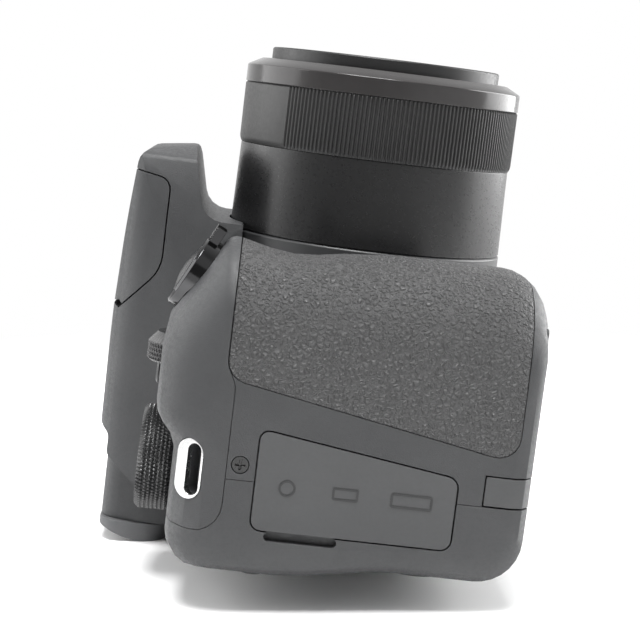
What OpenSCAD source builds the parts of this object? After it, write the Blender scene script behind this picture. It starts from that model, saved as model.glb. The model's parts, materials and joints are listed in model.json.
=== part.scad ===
// Bridge camera with a telescoping zoom lens, a pop-up flash and a swing-out screen.
// Millimetres. +Z is up, the lens looks along -Y and the hand grip is on the -X side.
// The origin is the mouth of the tripod socket, on the base under the lens axis.

/* [Body] */
// Lens axis to the grip side
grip_side = 73.5; // [71:0.5:80]
// Lens axis to the far side
far_side = 53.5; // [52:0.5:60]
// Socket forward to the front wall
body_front = 12; // [10.5:0.5:14]
// Socket forward to the front of the grip
grip_front = 31.5; // [29:0.5:36]
// Socket back to the lower rear face
rear_low = 31.3; // [30:0.1:36]
// Step back from the lower to the upper rear face
rear_step = 3.1; // [2:0.1:5]
// Height where the rear face starts to step back
rear_bend = 28; // [24:0.5:32]
// Height over which the rear face steps back
rear_rise = 18; // [12:0.5:22]
// Height of the shoulder over the grip
shoulder_height = 76.4; // [74:0.2:80]
// Drop from the shoulder to the dial deck behind it
deck_drop = 4.4; // [2:0.2:5]
// Drop from the dial deck to the far shoulder
far_drop = 2; // [0.5:0.5:4]
// Height of the brow over the finger hook
brow_height = 65; // [64.5:0.5:67]
// Depth of the finger hook
hook_depth = 2.4; // [0.5:0.1:4]
// Flat width of the grip, from its side to its inner flank
grip_width = 21.5; // [19:0.5:24]
// Width of the inner flank of the grip
flank_width = 14; // [10:0.5:16]
// Rounding of the outer front edge of the grip
front_round = 16; // [8:0.5:18]
// Rounding of the shoulder edge
shoulder_round = 11; // [6:0.5:13]
// Rounding of the upright rear edges
rear_round = 6; // [3:0.5:7]
// Rounding of the base edge at each side
base_round = 4; // [2:0.5:5]
// Rounding of the far front and top edges
far_round = 8; // [5:0.5:10]
// Wall of the covers
wall = 2; // [1.6:0.1:2.6]

/* [Cover joints] */
// Socket back to the joint of the front and rear covers
cover_split = 14.3; // [13.5:0.1:17]
// Height of the lower edge of the top cover
top_split = 61; // [59.5:0.5:62]
// Socket back to the rear edge of the top cover
top_back = 25.6; // [24:0.2:27]
// Gap between fixed covers
seam = 0.12; // [0.05:0.01:0.2]
// Gap round a piece that moves
play = 0.3; // [0.2:0.05:0.5]
// Gap between a shaft and its bore
run = 0.05; // [0.02:0.01:0.09]

/* [Grip rubber] */
// Thickness of the rubber
rubber_thick = 1.2; // [0.8:0.1:1.4]
// Height of the top edge of the rubber
rubber_top = 62.8; // [61.5:0.2:63.5]
// Height of the lower edge of the rubber
rubber_foot = 3.8; // [3:0.1:8]
// Socket back to the rubber at its foot
rubber_back = 4.9; // [2:0.1:6]
// Lean of the rear edge of the rubber over its height
rubber_lean = 10.7; // [6:0.1:14]
// Width of the rubber, from the grip side
rubber_width = 29.5; // [27:0.5:31]

/* [Lens] */
// Height of the lens axis
lens_height = 34.4; // [34:0.2:36]
// Radius of the barrel behind the knurled ring
barrel_r = 31.4; // [30:0.1:31.6]
// Growth of the barrel's radius towards its base
barrel_flare = 0.4; // [0.1:0.1:0.7]
// Step from the barrel up to its rings
ring_step = 0.5; // [0.4:0.05:1]
// Length of the base ring
base_ring_length = 17.8; // [16:0.2:20]
// Length of the barrel
barrel_length = 19.6; // [17:0.2:24]
// Length of the knurled ring
knurl_length = 13.8; // [10:0.2:17]
// Length of the trim ring
trim_length = 5.7; // [4:0.1:8]
// Length of the bevel on the trim ring
trim_bevel = 1.8; // [1:0.1:2.5]
// How far the front tube stands out of the trim ring at rest
tube_proud = 2.7; // [1:0.1:4]
// Number of ridges in a full turn of the knurl
knurl_count = 210; // [60:2:240]
// Depth of the knurl
knurl_depth = 0.45; // [0.2:0.05:0.6]
// Half angle of the smooth stretch over the top
knurl_gap_angle = 46; // [10:1:90]
// Wall of the barrel
barrel_wall = 1.1; // [0.7:0.05:1.2]
// Wall of the lens chassis
chassis_wall = 0.95; // [0.8:0.05:1.2]
// Wall of the cam ring
cam_wall = 0.85; // [0.7:0.05:1]
// Wall of the middle tube
middle_wall = 1; // [0.8:0.05:1.2]
// Wall of the front tube
front_wall = 1.2; // [0.9:0.05:1.6]
// Gap between sliding tubes
slip = 0.3; // [0.25:0.01:0.4]
// Length of the middle tube
middle_length = 50; // [46:0.5:52]
// Length of the front tube
front_length = 50.6; // [46:0.5:52]
// Radius of the clear front glass
glass_r = 20.2; // [16:0.2:21]
// Radius of the front of the glass
glass_curve = 55; // [35:1:90]

/* [Hump] */
// Height of the top of the hump
hump_top = 90.8; // [89:0.2:94]
// Half width of the hump near its top
hump_top_half = 17.5; // [16:0.25:19]
// Half width of the hump at its widest
hump_half = 24.5; // [23:0.25:26]
// Socket forward to the tip of the hump
hump_nose = 47.2; // [44:0.2:52]
// Half width of the nose of the hump, seen from above
nose_half = 18; // [16:0.5:22]
// Socket back to the joint with the viewfinder housing
hump_back = 30.2; // [29:0.2:33]
// Height of the underside of the nose
nose_foot = 75.6; // [74.5:0.2:77]
// Height of the floor of the flash well
flash_floor = 80.2; // [79.5:0.1:82]
// Nose forward of the flash lid
nose_length = 7; // [5:0.2:9]
// Radius of the flash hinge barrel
flash_barrel_r = 0.9; // [0.8:0.05:1.2]
// Radius of the flash hinge pin
flash_pin_r = 0.4; // [0.3:0.05:0.5]

/* [Viewfinder] */
// Socket back to the rear of the eyecup
eyecup_back = 45; // [43:0.5:49]
// Depth of the eyecup
eyecup_depth = 4.6; // [3:0.1:6]
// Half width of the viewfinder housing
finder_half = 16.5; // [15:0.25:18]
// Height of the viewfinder housing's top
finder_top = 88.5; // [87:0.1:89.5]
// Width of the eyepiece glass
eyepiece_w = 16; // [12:0.5:20]
// Height of the eyepiece glass
eyepiece_h = 11; // [9:0.5:11.5]
// Radius of the dioptre dial
dioptre_r = 4.2; // [3:0.1:5]
// Thickness of the dioptre dial
dioptre_thick = 2.4; // [1.6:0.1:3]

/* [Top controls] */
// Grip side to the shutter button
shutter_inset = 19.5; // [17:0.5:21]
// Grip front back to the shutter button
shutter_back = 7.4; // [7:0.1:9]
// Brow up to the top of the zoom lever
shutter_rise = 8.4; // [7.8:0.1:9.2]
// Forward tilt of the shutter button
shutter_tilt = 27; // [22:1:32]
// Radius of the shutter button
shutter_r = 5.2; // [4:0.1:5.4]
// Radius of the zoom lever's ring
lever_r = 8; // [7.5:0.1:8.6]
// Height of the zoom lever's ring
lever_height = 5.2; // [4.2:0.1:5.8]
// Reach of the lever's tab from its axis
lever_reach = 10.8; // [10:0.1:12]
// Width of the lever's tab
lever_tab_w = 6; // [4:0.2:8]
// Grip side to the front dial
front_dial_inset = 23.5; // [21:0.5:26]
// Socket forward to the middle of the front dial
front_dial_y = 7.1; // [6:0.1:9]
// Radius of the front dial
front_dial_r = 8; // [7:0.1:8.5]
// Width of the front dial
front_dial_w = 6; // [4:0.1:6.4]
// How far the front dial stands out of the shoulder
front_dial_proud = 3.5; // [2:0.1:4]
// Grip side to the power button
power_inset = 30; // [29:0.5:32]
// Radius of the power button
power_r = 2.5; // [2:0.1:2.6]
// Grip side to the mode dial
mode_inset = 33.5; // [33:0.5:35]
// Socket back to the mode dial
mode_y = 19; // [18.5:0.2:21]
// Radius of the mode dial
mode_r = 11.3; // [9:0.1:11.6]
// Height of the mode dial
mode_height = 7.2; // [5:0.1:9]

/* [Rear controls] */
// Radius of the small rear buttons
rear_button_r = 3; // [2:0.1:3.4]
// How far the buttons stand out
button_proud = 1.4; // [0.6:0.1:2]
// Radius of the four-way pad
pad_r = 9; // [7:0.1:9.6]
// Radius of the set button
set_r = 4.4; // [3:0.1:5]
// Height of the four-way pad
pad_height = 20; // [19:0.5:21]
// Grip side to the outer row of rear buttons
outer_row = 12; // [10:0.5:14]
// Outer to the inner row of rear buttons
row_pitch = 15.5; // [13:0.5:17]

/* [Screen] */
// Width of the screen frame
screen_w = 74; // [70:0.5:75]
// Height of the screen frame
screen_h = 58; // [54:0.5:58.5]
// Thickness of the screen, its back plate included
screen_thick = 6; // [5.5:0.1:7]
// Height of the lower edge of the screen
screen_foot = 5; // [4.6:0.1:6]
// Far side to the swing axis
swing_inset = 5; // [4.5:0.1:6]
// Swing axis to the edge of the screen
swing_reach = 8.2; // [7.6:0.1:9]
// Radius of the screen hinge pins
swing_pin_r = 1.5; // [1:0.1:1.8]
// Wall behind the screen
pan_floor = 30.2; // [29.5:0.1:30.4]

/* [Grip side] */
// Thickness of the terminal cover
flap_thick = 1.8; // [1.4:0.1:2]
// Height of the foot of the terminal cover
terminal_foot = 14.9; // [13:0.1:17]
// Height of the top of the terminal cover
terminal_top = 55.1; // [52:0.1:56]
// Socket back to the terminal cover's front edge at its foot
terminal_front = 9.2; // [8:0.1:9.6]
// Forward lean of that edge over its height
terminal_lean = 5.7; // [3:0.1:7]
// Socket back to the terminal cover's rear edge
terminal_back = 24.1; // [23:0.1:24.5]
// Height of the top of the power-lead flap
lead_top = 9.7; // [8:0.1:11]
// Socket back to the front edge of the power-lead flap
lead_front = 8; // [7:0.1:9]
// Radius of a screw head
screw_head_r = 1.7; // [1.3:0.1:1.8]
// Length of the slot in a strap lug
lug_slot = 10.5; // [9:0.1:12]
// Width of the slot in a strap lug
lug_slot_w = 3.2; // [2:0.1:3.5]
// Width of the metal bar above the slot
lug_bar = 2.4; // [1.6:0.1:3]
// Thickness of a strap lug
lug_thick = 1.6; // [1.2:0.1:2]

/* [Base] */
// Radius of the tapped wall of the tripod socket
socket_r = 2.55; // [2:0.05:3]
// Depth of the tripod socket
socket_depth = 6.2; // [5:0.1:6.5]
// Outer radius of the tripod socket
socket_outer_r = 5; // [4:0.1:5.5]
// Thickness of the battery
battery_t = 15; // [12:0.1:15.5]
// Depth of the battery, front to back
battery_d = 31; // [26:0.5:31.5]
// Height of the battery
battery_h = 45; // [40:0.5:48]
// Thickness of a memory card
card_t = 2.1; // [1.4:0.1:2.4]
// Height of a memory card
card_h = 32; // [28:0.5:34]
// Width of a memory card
card_d = 24; // [20:0.5:25]

/* [Hidden] */
$fn = 64;
// Sides of the large lens rings
ring_fn = 96;
// Larger than the camera, for cuts that pass right through, and how far a shallow cut runs past a face
far = 200;
past = 1;
// Gap of a piece that is fixed in its seat
seat = 0.05;

// Colours
plastic = "#2d2d30";
dark_plastic = "#1c1c1e";
rubber = "#242426";
metal = "#b9bbbe";
glass = "#40485a";
board_green = "#1f4f38";

// Body heights and edges
deck_height = shoulder_height - deck_drop;
far_height = deck_height - far_drop;
rear_high = rear_low + rear_step;
rear_bend_top = rear_bend + rear_rise;
flank_start = grip_width - grip_side;
flank_end = flank_start + flank_width;
ramp_margin = 2;
ramp_start = finder_half + ramp_margin;
ramp_end = far_side - far_round - ramp_margin;
shoulder_run = 16.4;
body_run = 8;
hook_drop = 13;
hook_length = 16;
hook_height = brow_height - hook_drop;
front_bend = hook_height - hook_length;
hook_lean = 0.2;
brow_lip = 0.5;
brow_fall = 0.2;
far_brow_fall = 0.7;
far_crown = 0.6;
deck_step_front = 4.5;
deck_step_back = 9.8;
foot_round_grip = 9;
foot_round_body = 2.2;
rear_foot_round = 9;
bend_round = 3;
deck_round = 6;
step_foot_round = 1.5;
step_top_round = 2.5;
crown_round = 5;
brow_round = 2;
hook_round = 5;
front_bend_round = 6;

// Lens stations along -Y and the radii of its nested tubes
chassis_fit = 0.1;
trim_clear = 0.1;
middle_sunk = 1.4;
chassis_sunk = 1.2;
chassis_tail = 9;
plate_thick = 3;
wall_y = -body_front;
barrel_back_y = wall_y - base_ring_length;
knurl_back_y = barrel_back_y - barrel_length;
trim_back_y = knurl_back_y - knurl_length;
trim_front_y = trim_back_y - trim_length;
lens_front_y = trim_front_y - tube_proud;
ring_r = barrel_r + ring_step;
barrel_in = barrel_r - barrel_wall;
chassis_r = barrel_in - chassis_fit;
chassis_in = chassis_r - chassis_wall;
cam_r = chassis_in - slip;
cam_in = cam_r - cam_wall;
middle_r = cam_in - slip;
middle_in = middle_r - middle_wall;
front_r = middle_in - slip;
front_in = front_r - front_wall;
trim_in = cam_in + trim_clear;
middle_front_y = trim_front_y + middle_sunk;
middle_back_y = middle_front_y + middle_length;
chassis_front_y = trim_back_y + chassis_sunk;
chassis_back_y = wall_y + chassis_tail;
plate_y = chassis_back_y - plate_thick;
chassis_flange = 1.6;
flange_y = wall_y + wall + play;
cam_end_gap = 0.5;
cam_plate_gap = 2;
base_ring_bevel = 0.5;
trim_face = 3.3;
trim_lip = 0.4;
trim_lip_rise = 0.3;
trim_key = 1.5;
tube_lead = 0.6;
tube_bevel = 0.3;
bezel_depth = 10;
bezel_sunk = 1;
bezel_lip = 0.7;
glass_rim_depth = 4.8;
glass_rim_y = lens_front_y + glass_rim_depth;
glass_seat = 0.9;
glass_seat_rise = 0.4;
group_thick = 3;
group_lens_r = 12;
group_rim = 1;
group_dish = 0.6;
rear_group_r = 9.5;
rear_lens_r = 7;
rear_group_reach = 6;
rear_group_dish = 1;
rear_group_sunk = 0.6;
framing_r = 2.4;
framing_first = 6;
framing_pitch = 7;
framing_y = [barrel_back_y - framing_first, barrel_back_y - framing_first - framing_pitch];
framing_proud = 0.2;
framing_stop = 0.5;

// Pieces behind the lens
sensor_half_w = 11;
sensor_half_h = 10;
sensor_thick = 1.4;
motor_r = 5;
motor_length = 14;
motor_shaft_r = 1;
motor_shaft = 2.5;
motor_x = 19;
motor_rise = 16;
board_y = 22;
board_thick = 1.2;
board_x0 = -29;
board_x1 = 40;
board_foot = 9;
board_top = 57;
board_margin = 5;
post_r = 2;
post_x = [board_x0 + board_margin, board_x1 - board_margin];
post_z = [board_foot + board_margin, board_top - board_margin];
speaker_y = 5;
speaker_z = 48;
speaker_r = 6;
speaker_thick = 2.6;
speaker_hole_r = 0.55;
speaker_pitch = 2.4;
lamp_x = 40;
lamp_z = 55;
lamp_r = 2.6;
lamp_proud = 0.1;
lamp_rim = 1.2;
lamp_rim_thick = 1;

// Screen places
screen_back_thick = 1.3;
screen_back_inset = 0.4;
screen_border = 4;
screen_glass_sunk = 2;
screen_glass_thick = 1.7;
screen_corner = 2.5;
arm_half = 8;
arm_neck = 6;
arm_half_thick = 2.3;
arm_relief = 0.1;
ear_height = 6;
ear_end = 0.5;
ear_root = 0.5;
tilt_pin_length = 3.5;
swing_x = far_side - swing_inset;
screen_x1 = swing_x - swing_reach;
screen_x0 = screen_x1 - screen_w;
screen_y0 = pan_floor + play;
screen_y1 = screen_y0 + screen_thick;
swing_y = screen_y0 + screen_thick / 2;
screen_top = screen_foot + screen_h;
swing_z = screen_foot + screen_h / 2;

// Top controls
shutter_x = shutter_inset - grip_side;
shutter_y = shutter_back - grip_front;
shutter_z = brow_height + shutter_rise;
shutter_well_wall = 2.2;
shutter_well_floor = 3;
shutter_stem_rise = 0.6;
shutter_stem_inset = 1;
shutter_skirt = 2.3;
shutter_edge = 0.1;
shutter_crown = 0.9;
shutter_dome = 14;
lever_bevel = 0.5;
lever_tab_low = 2.6;
lever_tab_sunk = 0.3;
lever_rib_pitch = 0.55;
lever_rib_depth = 0.4;
lever_rib_gap = 0.25;
lever_ribs = 5;
lever_sweep_gap = 0.5;
lever_sweep_back = 2.5;
dial_x = front_dial_inset - grip_side;
dial_z = shoulder_height + front_dial_proud - front_dial_r;
dial_pin_r = 1.2;
dial_pin = 2;
dial_ear_thick = 2.2;
dial_ear_half = 2.6;
dial_cone = 1.8;
dial_cone_l = 2;
dial_rim = 0.4;
mode_x = mode_inset - grip_side;
mode_lift = 0.4;
mode_post_r = 3;
mode_post_top = 2;
mode_bore_top = 1.8;
mode_boss = 2;
mode_bevel = 0.8;
mode_foot_bevel = 0.5;
power_x = power_inset - grip_side;
power_y = -0.2;

// Buttons: a cap through the wall with a collar behind it
button_gap = 0.15;
collar_thick = 0.8;
collar_wide = 0.8;
collar_room = 3;
cap_bevel = 0.4;
cap_bevel_in = 0.5;
collar_z = -wall - button_gap - collar_thick;

// Rear controls
low_row_sunk = 0.4;
set_sunk = 0.1;
pad_shift = 1.2;
movie_shift = 4;
movie_z = 61.5;
upper_row_z = 53.5;
lower_row_z = 37;
outer_x = outer_row - grip_side;
inner_x = outer_x + row_pitch;
movie_x = inner_x + movie_shift;
pad_x = outer_x + row_pitch / 2 - pad_shift;

// Battery, card and door
battery_inset = 7.5;
battery_margin = 3.8;
battery_lift = 1;
case_wall = 1;
case_top_gap = 0.2;
case_foot_reach = 2.5;
case_foot_front = 12;
case_foot_thick = 1.2;
card_shift = 4.5;
card_corner = 4;
door_thick = 1.6;
door_lift = 0.2;
door_edge = 1.2;
door_hinge_edge = 2;
door_rear_edge = 1.4;
door_corner = 1;
door_corner_cut = 8;
battery_x = battery_inset - grip_side;
battery_y = cover_split - battery_margin - battery_d;
battery_x1 = battery_x + battery_t;
battery_y1 = battery_y + battery_d;
battery_z = wall + battery_lift;
card_x = battery_x1 + case_wall;
card_x1 = card_x + card_t;
card_y = battery_y + card_shift;
door_x0 = battery_x - case_wall - door_edge;
door_x1 = card_x1 + case_wall + door_hinge_edge;
door_y0 = battery_y - door_edge;
door_y1 = battery_y1 + door_rear_edge;
latch_w = 5;
latch_l = 9;
latch_travel = 3;
latch_edge = 1.2;
latch_thick = 0.9;
latch_gap = 0.1;
latch_ribs = 3;
latch_groove = 0.3;
latch_groove_depth = 0.4;
latch_x = door_x0 + latch_edge + play;
latch_y = (door_y0 + door_y1) / 2;
socket_boss_rise = 1.5;
socket_boss_wall = 2.5;
socket_flange = 1.8;
socket_flange_thick = 1.5;
socket_cap = 1.6;
socket_flange_z = wall + socket_boss_rise;

// Hump, flash and viewfinder
throat_y = -31.3;
throat_rise = 3.4;
throat_round = 5;
hump_root = 0.3;
hump_root_half = 21;
hump_root_z = 62;
hump_wide_z = 73.5;
hump_top_round = 7.5;
hump_wide_round = 3;
crown_front = -30;
crown_back = -4;
crown_fall = 1.5;
crown_side_round = 8;
nose_fall = 3;
nose_rake = 1.9;
nose_round = 3;
nose_tip_round = 1;
nose_plan_round = 7;
nose_bow = 2.8;
nose_flat_half = 7;
nose_edge_round = 1;
nose_plan_back = -14;
hump_step_top = 18.6;
hump_step_foot = 20.3;
hump_step_round = 0.9;
finder_drop = 0.1;
finder_chamfer = 5.2;
finder_chamfer_z = 81.3;
finder_chamfer_round = 0.8;
square_edge = 0.3;
finder_foot = deck_height + seam;
finder_back = eyecup_back - eyecup_depth;
finder_axis_z = (finder_foot + finder_top) / 2;
finder_edge = 0.5;
finder_gap = 0.25;
finder_foot_rise = 1.2;
finder_waist_z = 80;
finder_waist_round = 2;
finder_lean = 2.5;
finder_top_round = 4;
finder_tube_wall = 2.5;
finder_tube_lid = 1.2;
finder_tube_half = eyepiece_w / 2 + finder_tube_wall;
finder_tube_h = eyepiece_h + 2 * finder_tube_lid;
finder_tube_front = 12;
finder_hole_round = 2;
eyepiece_thick = 2;
eyepiece_sunk = 0.5;
eyepiece_gap = 0.1;
display_thick = 2.5;
display_sunk = 0.5;
eyecup_over = 0.5;
eyecup_foot = 0.6;
eyecup_top = 0.1;
eyecup_round = 5;
eyecup_lean = 0.6;
eyecup_crown = 3;
eyecup_well = 2.2;
eyecup_well_w = 8;
eyecup_well_h = 3;
eyecup_hole_w = 2;
eyecup_hole_h = 1.4;
dioptre_margin = 0.8;
dioptre_drop = 1;
flash_rake = 48.5;
flash_floor_back = -19.2;
flash_front_lean = 2;
flash_front_foot = 0.8;
flash_front_round = 2.5;
flash_back_round = 3.5;
flash_open_z = 96;
flash_hinge_sunk = 0.55;
flash_swing_gap = 0.4;
flash_channel_inset = 1.3;
flash_channel_half = hump_top_half - flash_channel_inset;
flash_pin_fit = 0.01;
flash_knuckle = 6.5;
flash_lug = 2.8;
flash_lug_depth = 4;
flash_window_w = 25;
flash_window_h = 4.6;
flash_window_lift = 1.2;
flash_window_sunk = 1.3;
flash_window_thick = 1.6;
flash_pocket_depth = 9;
flash_tube_r = 1.4;
flash_tube_depth = 7;
flash_front = nose_length - hump_nose;
flash_hinge_z = hump_top - flash_hinge_sunk - flash_barrel_r;
flash_hinge_y = flash_floor_back + (flash_hinge_z - flash_floor) * tan(flash_rake)
    - flash_barrel_r / cos(flash_rake);
flash_window_foot = flash_floor + flash_window_lift;

// Grip side
rubber_foot_rise = 0.6;
rubber_foot_round = 5;
rubber_top_round = 3.6;
rubber_reveal = 0.2;
top_joint_front = -8.5;
top_joint_back = -4.5;
top_joint_round = 1;
top_back_round = 6;
terminal_round = 2.2;
terminal_backing = 1.6;
port_front_inset = 0.4;
port_back_inset = 3.4;
port_foot_inset = 2.4;
port_top_inset = 2.2;
port_depth = 5.8;
port_floor = 0.6;
port_sunk = 0.3;
port_y0 = terminal_front - port_front_inset;
port_y1 = terminal_back - port_back_inset;
port_z0 = terminal_foot + port_foot_inset;
port_z1 = terminal_top - port_top_inset;
jack_r = 1.3;
jack_drop = 5;
port_low = 2;
port_low_h = 9;
port_low_half = 1.3;
port_high = 13;
port_high_h = 7;
port_high_half = 1.5;
pry_w = 1.9;
pry_depth = 1.8;
pry_foot = 17.5;
pry_top = 3;
lead_depth = 3.7;
side_screw_y = 11.2;
side_screw_z = 58.3;
screw_grip_x = 30;
screw_far_x = 40;
screw_end_y = 5;
screw_mid_x = 15;
screw_mid_y = 8;
base_screws = [[-screw_grip_x, screw_end_y], [screw_far_x, screw_end_y], [screw_mid_x, screw_mid_y],
    [-screw_mid_x, screw_mid_y]];
screw_depth = 1.3;
screw_sunk = 0.2;
screw_shank_r = 0.8;
screw_shank = 2.6;
screw_cross = 2;
screw_cross_w = 0.44;
screw_cross_depth = 0.75;
lug_lean = 58;
lug_y = 13.6;
lug_share = 0.25;
lug_end = 0.9;
lug_rim = 0.5;
lug_length = lug_slot + 2 * lug_end;
lug_width = lug_bar + lug_slot_w + lug_rim;
lug_slot_shift = (lug_rim - lug_bar) / 2;
lug_proud = 0.1;
lug_room = 4.5;
lug_backing = [6, 10, 6];

// Outline tools: a corner is [across, up, cut, steps], where cut is how far from the corner its round starts
least_cut = 0.1;
longest_cut = 0.48;
function mix(a, b, share) = a + (b - a) * share;
function unit(v) = v / norm(v);
function flat(corner) = [corner[0], corner[1]];
function ease(from, to, x) = let (t = max(0, min(1, (x - from) / (to - from)))) t * t * (3 - 2 * t);
function left_of(a, b) = let (along = unit(b - a)) [-along[1], along[0]];
function bend_tan(a, p, b) = let (c = unit(p - a) * unit(b - p)) sqrt(max(0, (1 - c) / (1 + c)));
function turn_sign(a, p, b) = let (u = p - a, v = b - p) sign(u[0] * v[1] - u[1] * v[0]);
function before(list, i) = flat(list[(i + len(list) - 1) % len(list)]);
function after(list, i) = flat(list[(i + 1) % len(list)]);

// Moves every edge of a counter-clockwise outline inwards by one distance
function inset(corners, by) = [for (i = [0:len(corners) - 1])
    let (a = before(corners, i), p = flat(corners[i]), b = after(corners, i),
        side_a = left_of(a, p), side_b = left_of(p, b),
        moved = p + by * (side_a + side_b) / (1 + side_a * side_b),
        cut = corners[i][2] - turn_sign(a, p, b) * by * bend_tan(a, p, b))
    [moved[0], moved[1], max(least_cut, cut), corners[i][3]]];

// Rounds each corner with an arc that starts at its cut, and no further than its edges allow
function rounded(corners) = [for (i = [0:len(corners) - 1])
    let (a = before(corners, i), p = flat(corners[i]), b = after(corners, i),
        cut = min(corners[i][2], longest_cut * min(norm(a - p), norm(b - p))),
        from = p + cut * unit(a - p), to = p + cut * unit(b - p),
        weight = sqrt((1 + unit(p - a) * unit(b - p)) / 2), steps = corners[i][3])
    for (k = [0:steps])
        let (t = k / steps, s = 1 - t, pull = 2 * weight * s * t)
        (s * s * from + pull * p + t * t * to) / (s * s + pull + t * t)];

// A rectangle of a width and a height round a middle, with its corners cut
function frame_corners(x0, x1, z0, z1, cut, steps) =
    [[x0, z0, cut, steps], [x1, z0, cut, steps], [x1, z1, cut, steps], [x0, z1, cut, steps]];

// Skin of the body: an outline across the body for each place along it
function edge_inset(depth, r) = depth >= r ? 0 : r - sqrt(max(0, r * r - (r - depth) * (r - depth)));
function end_inset(x, by, grip_r, far_r) =
    max(edge_inset(x + grip_side - by, grip_r - by), edge_inset(far_side - by - x, far_r - by));
function grip_share(x) = 1 - ease(flank_start, flank_end, x);
function skin_corners(x, by) =
    let (grip = grip_share(x), lower = ease(ramp_start, ramp_end, x),
        drop = end_inset(x, by, shoulder_round, far_round),
        back = end_inset(x, by, rear_round, rear_round),
        foot = end_inset(x, by, base_round, base_round),
        front = -mix(body_front, grip_front, grip) + end_inset(x, by, front_round, far_round),
        top = mix(shoulder_height, far_height + far_crown, lower) - drop,
        deck = mix(deck_height, far_height, lower) - drop)
    [[front, foot, mix(foot_round_body, foot_round_grip, grip), 6],
        [rear_low - back, foot, rear_foot_round, 7],
        [rear_low - back, rear_bend, bend_round, 1],
        [rear_high - back, rear_bend_top, bend_round, 1],
        [rear_high - back, deck, deck_round, 4],
        [deck_step_back, deck, step_foot_round, 1],
        [deck_step_front, top, step_top_round, 2],
        [front + mix(body_run, shoulder_run, grip), top, crown_round, 2],
        [front - brow_lip, brow_height - drop * mix(brow_fall, far_brow_fall, lower), brow_round, 3],
        [front + hook_lean + hook_depth * grip, hook_height, hook_round, 2],
        [front, front_bend, front_bend_round, 1]];
grip_steps = [0, 0.05, 0.18, 0.4, 0.7, 1];
far_steps = [1, 0.6, 0.25, 0.06, 0];
function grip_end(by) = [for (s = grip_steps) -grip_side + by + s * (front_round - by)];
function flank() = [for (s = [0:0.25:1]) mix(flank_start, flank_end, s)];
function ramp() = [for (s = [0:0.5:1]) mix(ramp_start, ramp_end, s)];
function far_end(by) = [for (s = far_steps) far_side - by - s * (far_round - by)];

module skin_along(places, by) {
    rings = [for (x = places) rounded(inset(skin_corners(x, by), by))];
    count = len(rings[0]);
    last = len(places) - 1;
    points = [for (i = [0:last]) for (p = rings[i]) [places[i], p[0], p[1]]];
    sides = [for (i = [0:last - 1]) for (k = [0:count - 1])
        let (a = i * count + k, b = i * count + (k + 1) % count)
        each [[a, a + count, b], [b, a + count, b + count]]];
    first_cap = [for (k = [0:count - 1]) k];
    last_cap = [for (k = [count - 1:-1:0]) last * count + k];
    polyhedron(points, concat([first_cap], sides, [last_cap]));
}
module skin(by) skin_along(concat(grip_end(by), flank(), ramp(), far_end(by)), by);
module grip_skin(by) skin_along(concat(grip_end(by), flank()), by);
module end_skin(by) skin_along(grip_end(by), by);

// Placing tools
module along_x(from, to) translate([from, 0, 0]) rotate([90, 0, 90]) linear_extrude(to - from) children();
module along_y(from, to) translate([0, to, 0]) rotate([90, 0, 0]) linear_extrude(to - from) children();
module along_z(from, to) translate([0, 0, from]) linear_extrude(to - from) children();
module block(low, high) translate(low) cube(high - low);
module outline(corners, by) polygon(rounded(inset(corners, by)));
module disc(from, to, r) translate([0, 0, from]) cylinder(r = r, h = to - from);
module cone(from, to, r1, r2) translate([0, 0, from]) cylinder(r1 = r1, r2 = r2, h = to - from);
module rod_x(y, z, from, to, r) translate([from, y, z]) rotate([0, 90, 0]) cylinder(r = r, h = to - from);
module rod_y(x, z, from, to, r) translate([x, from, z]) rotate([-90, 0, 0]) cylinder(r = r, h = to - from);
module rod_z(x, y, from, to, r) translate([x, y, 0]) disc(from, to, r);
module lens_turn(profile) translate([0, 0, lens_height]) rotate([-90, 0, 0])
    rotate_extrude($fn = ring_fn) polygon(profile);
module lens_tube(outer, inner, from, to)
    lens_turn([[inner, from], [outer, from], [outer, to], [inner, to]]);
module lens_hole(r) rod_y(0, lens_height, -far, cover_split, r);
module at_shutter() translate([shutter_x, shutter_y, shutter_z]) rotate([shutter_tilt, 0, 0]) children();
module at_flash() translate([0, flash_hinge_y, flash_hinge_z]) children();
module at_power() translate([power_x, power_y, shoulder_height]) children();
function rear_y(z) = mix(rear_low, rear_high, max(0, min(1, (z - rear_bend) / rear_rise)));
function rear_lean(z) = z > rear_bend && z < rear_bend_top ? atan(rear_step / rear_rise) : 0;
module on_rear(x, z) translate([x, rear_y(z), z]) rotate([-90 - rear_lean(z), 0, 0]) children();

module button_cap(r, proud) {
    disc(collar_z, proud - cap_bevel, r);
    cone(proud - cap_bevel, proud, r, r - cap_bevel_in);
    disc(collar_z, collar_z + collar_thick, r + collar_wide);
}
module button_hole(r) {
    disc(-wall - past, wall, r + play);
    disc(-wall - collar_room, -wall, r + collar_wide + play);
}

// Regions that divide the skin into covers
top_corners = [[-far, rubber_top + rubber_reveal, least_cut, 1],
    [top_joint_front, rubber_top + rubber_reveal, top_joint_round, 2],
    [top_joint_back, top_split, top_joint_round, 2], [top_back, top_split, top_back_round, 5],
    [top_back, far, least_cut, 1], [-far, far, least_cut, 1]];
module top_region(by) along_x(-far, far) outline(top_corners, by);
module rear_half(by) block([-far, cover_split + by, -far], [far, far, far]);

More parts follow.
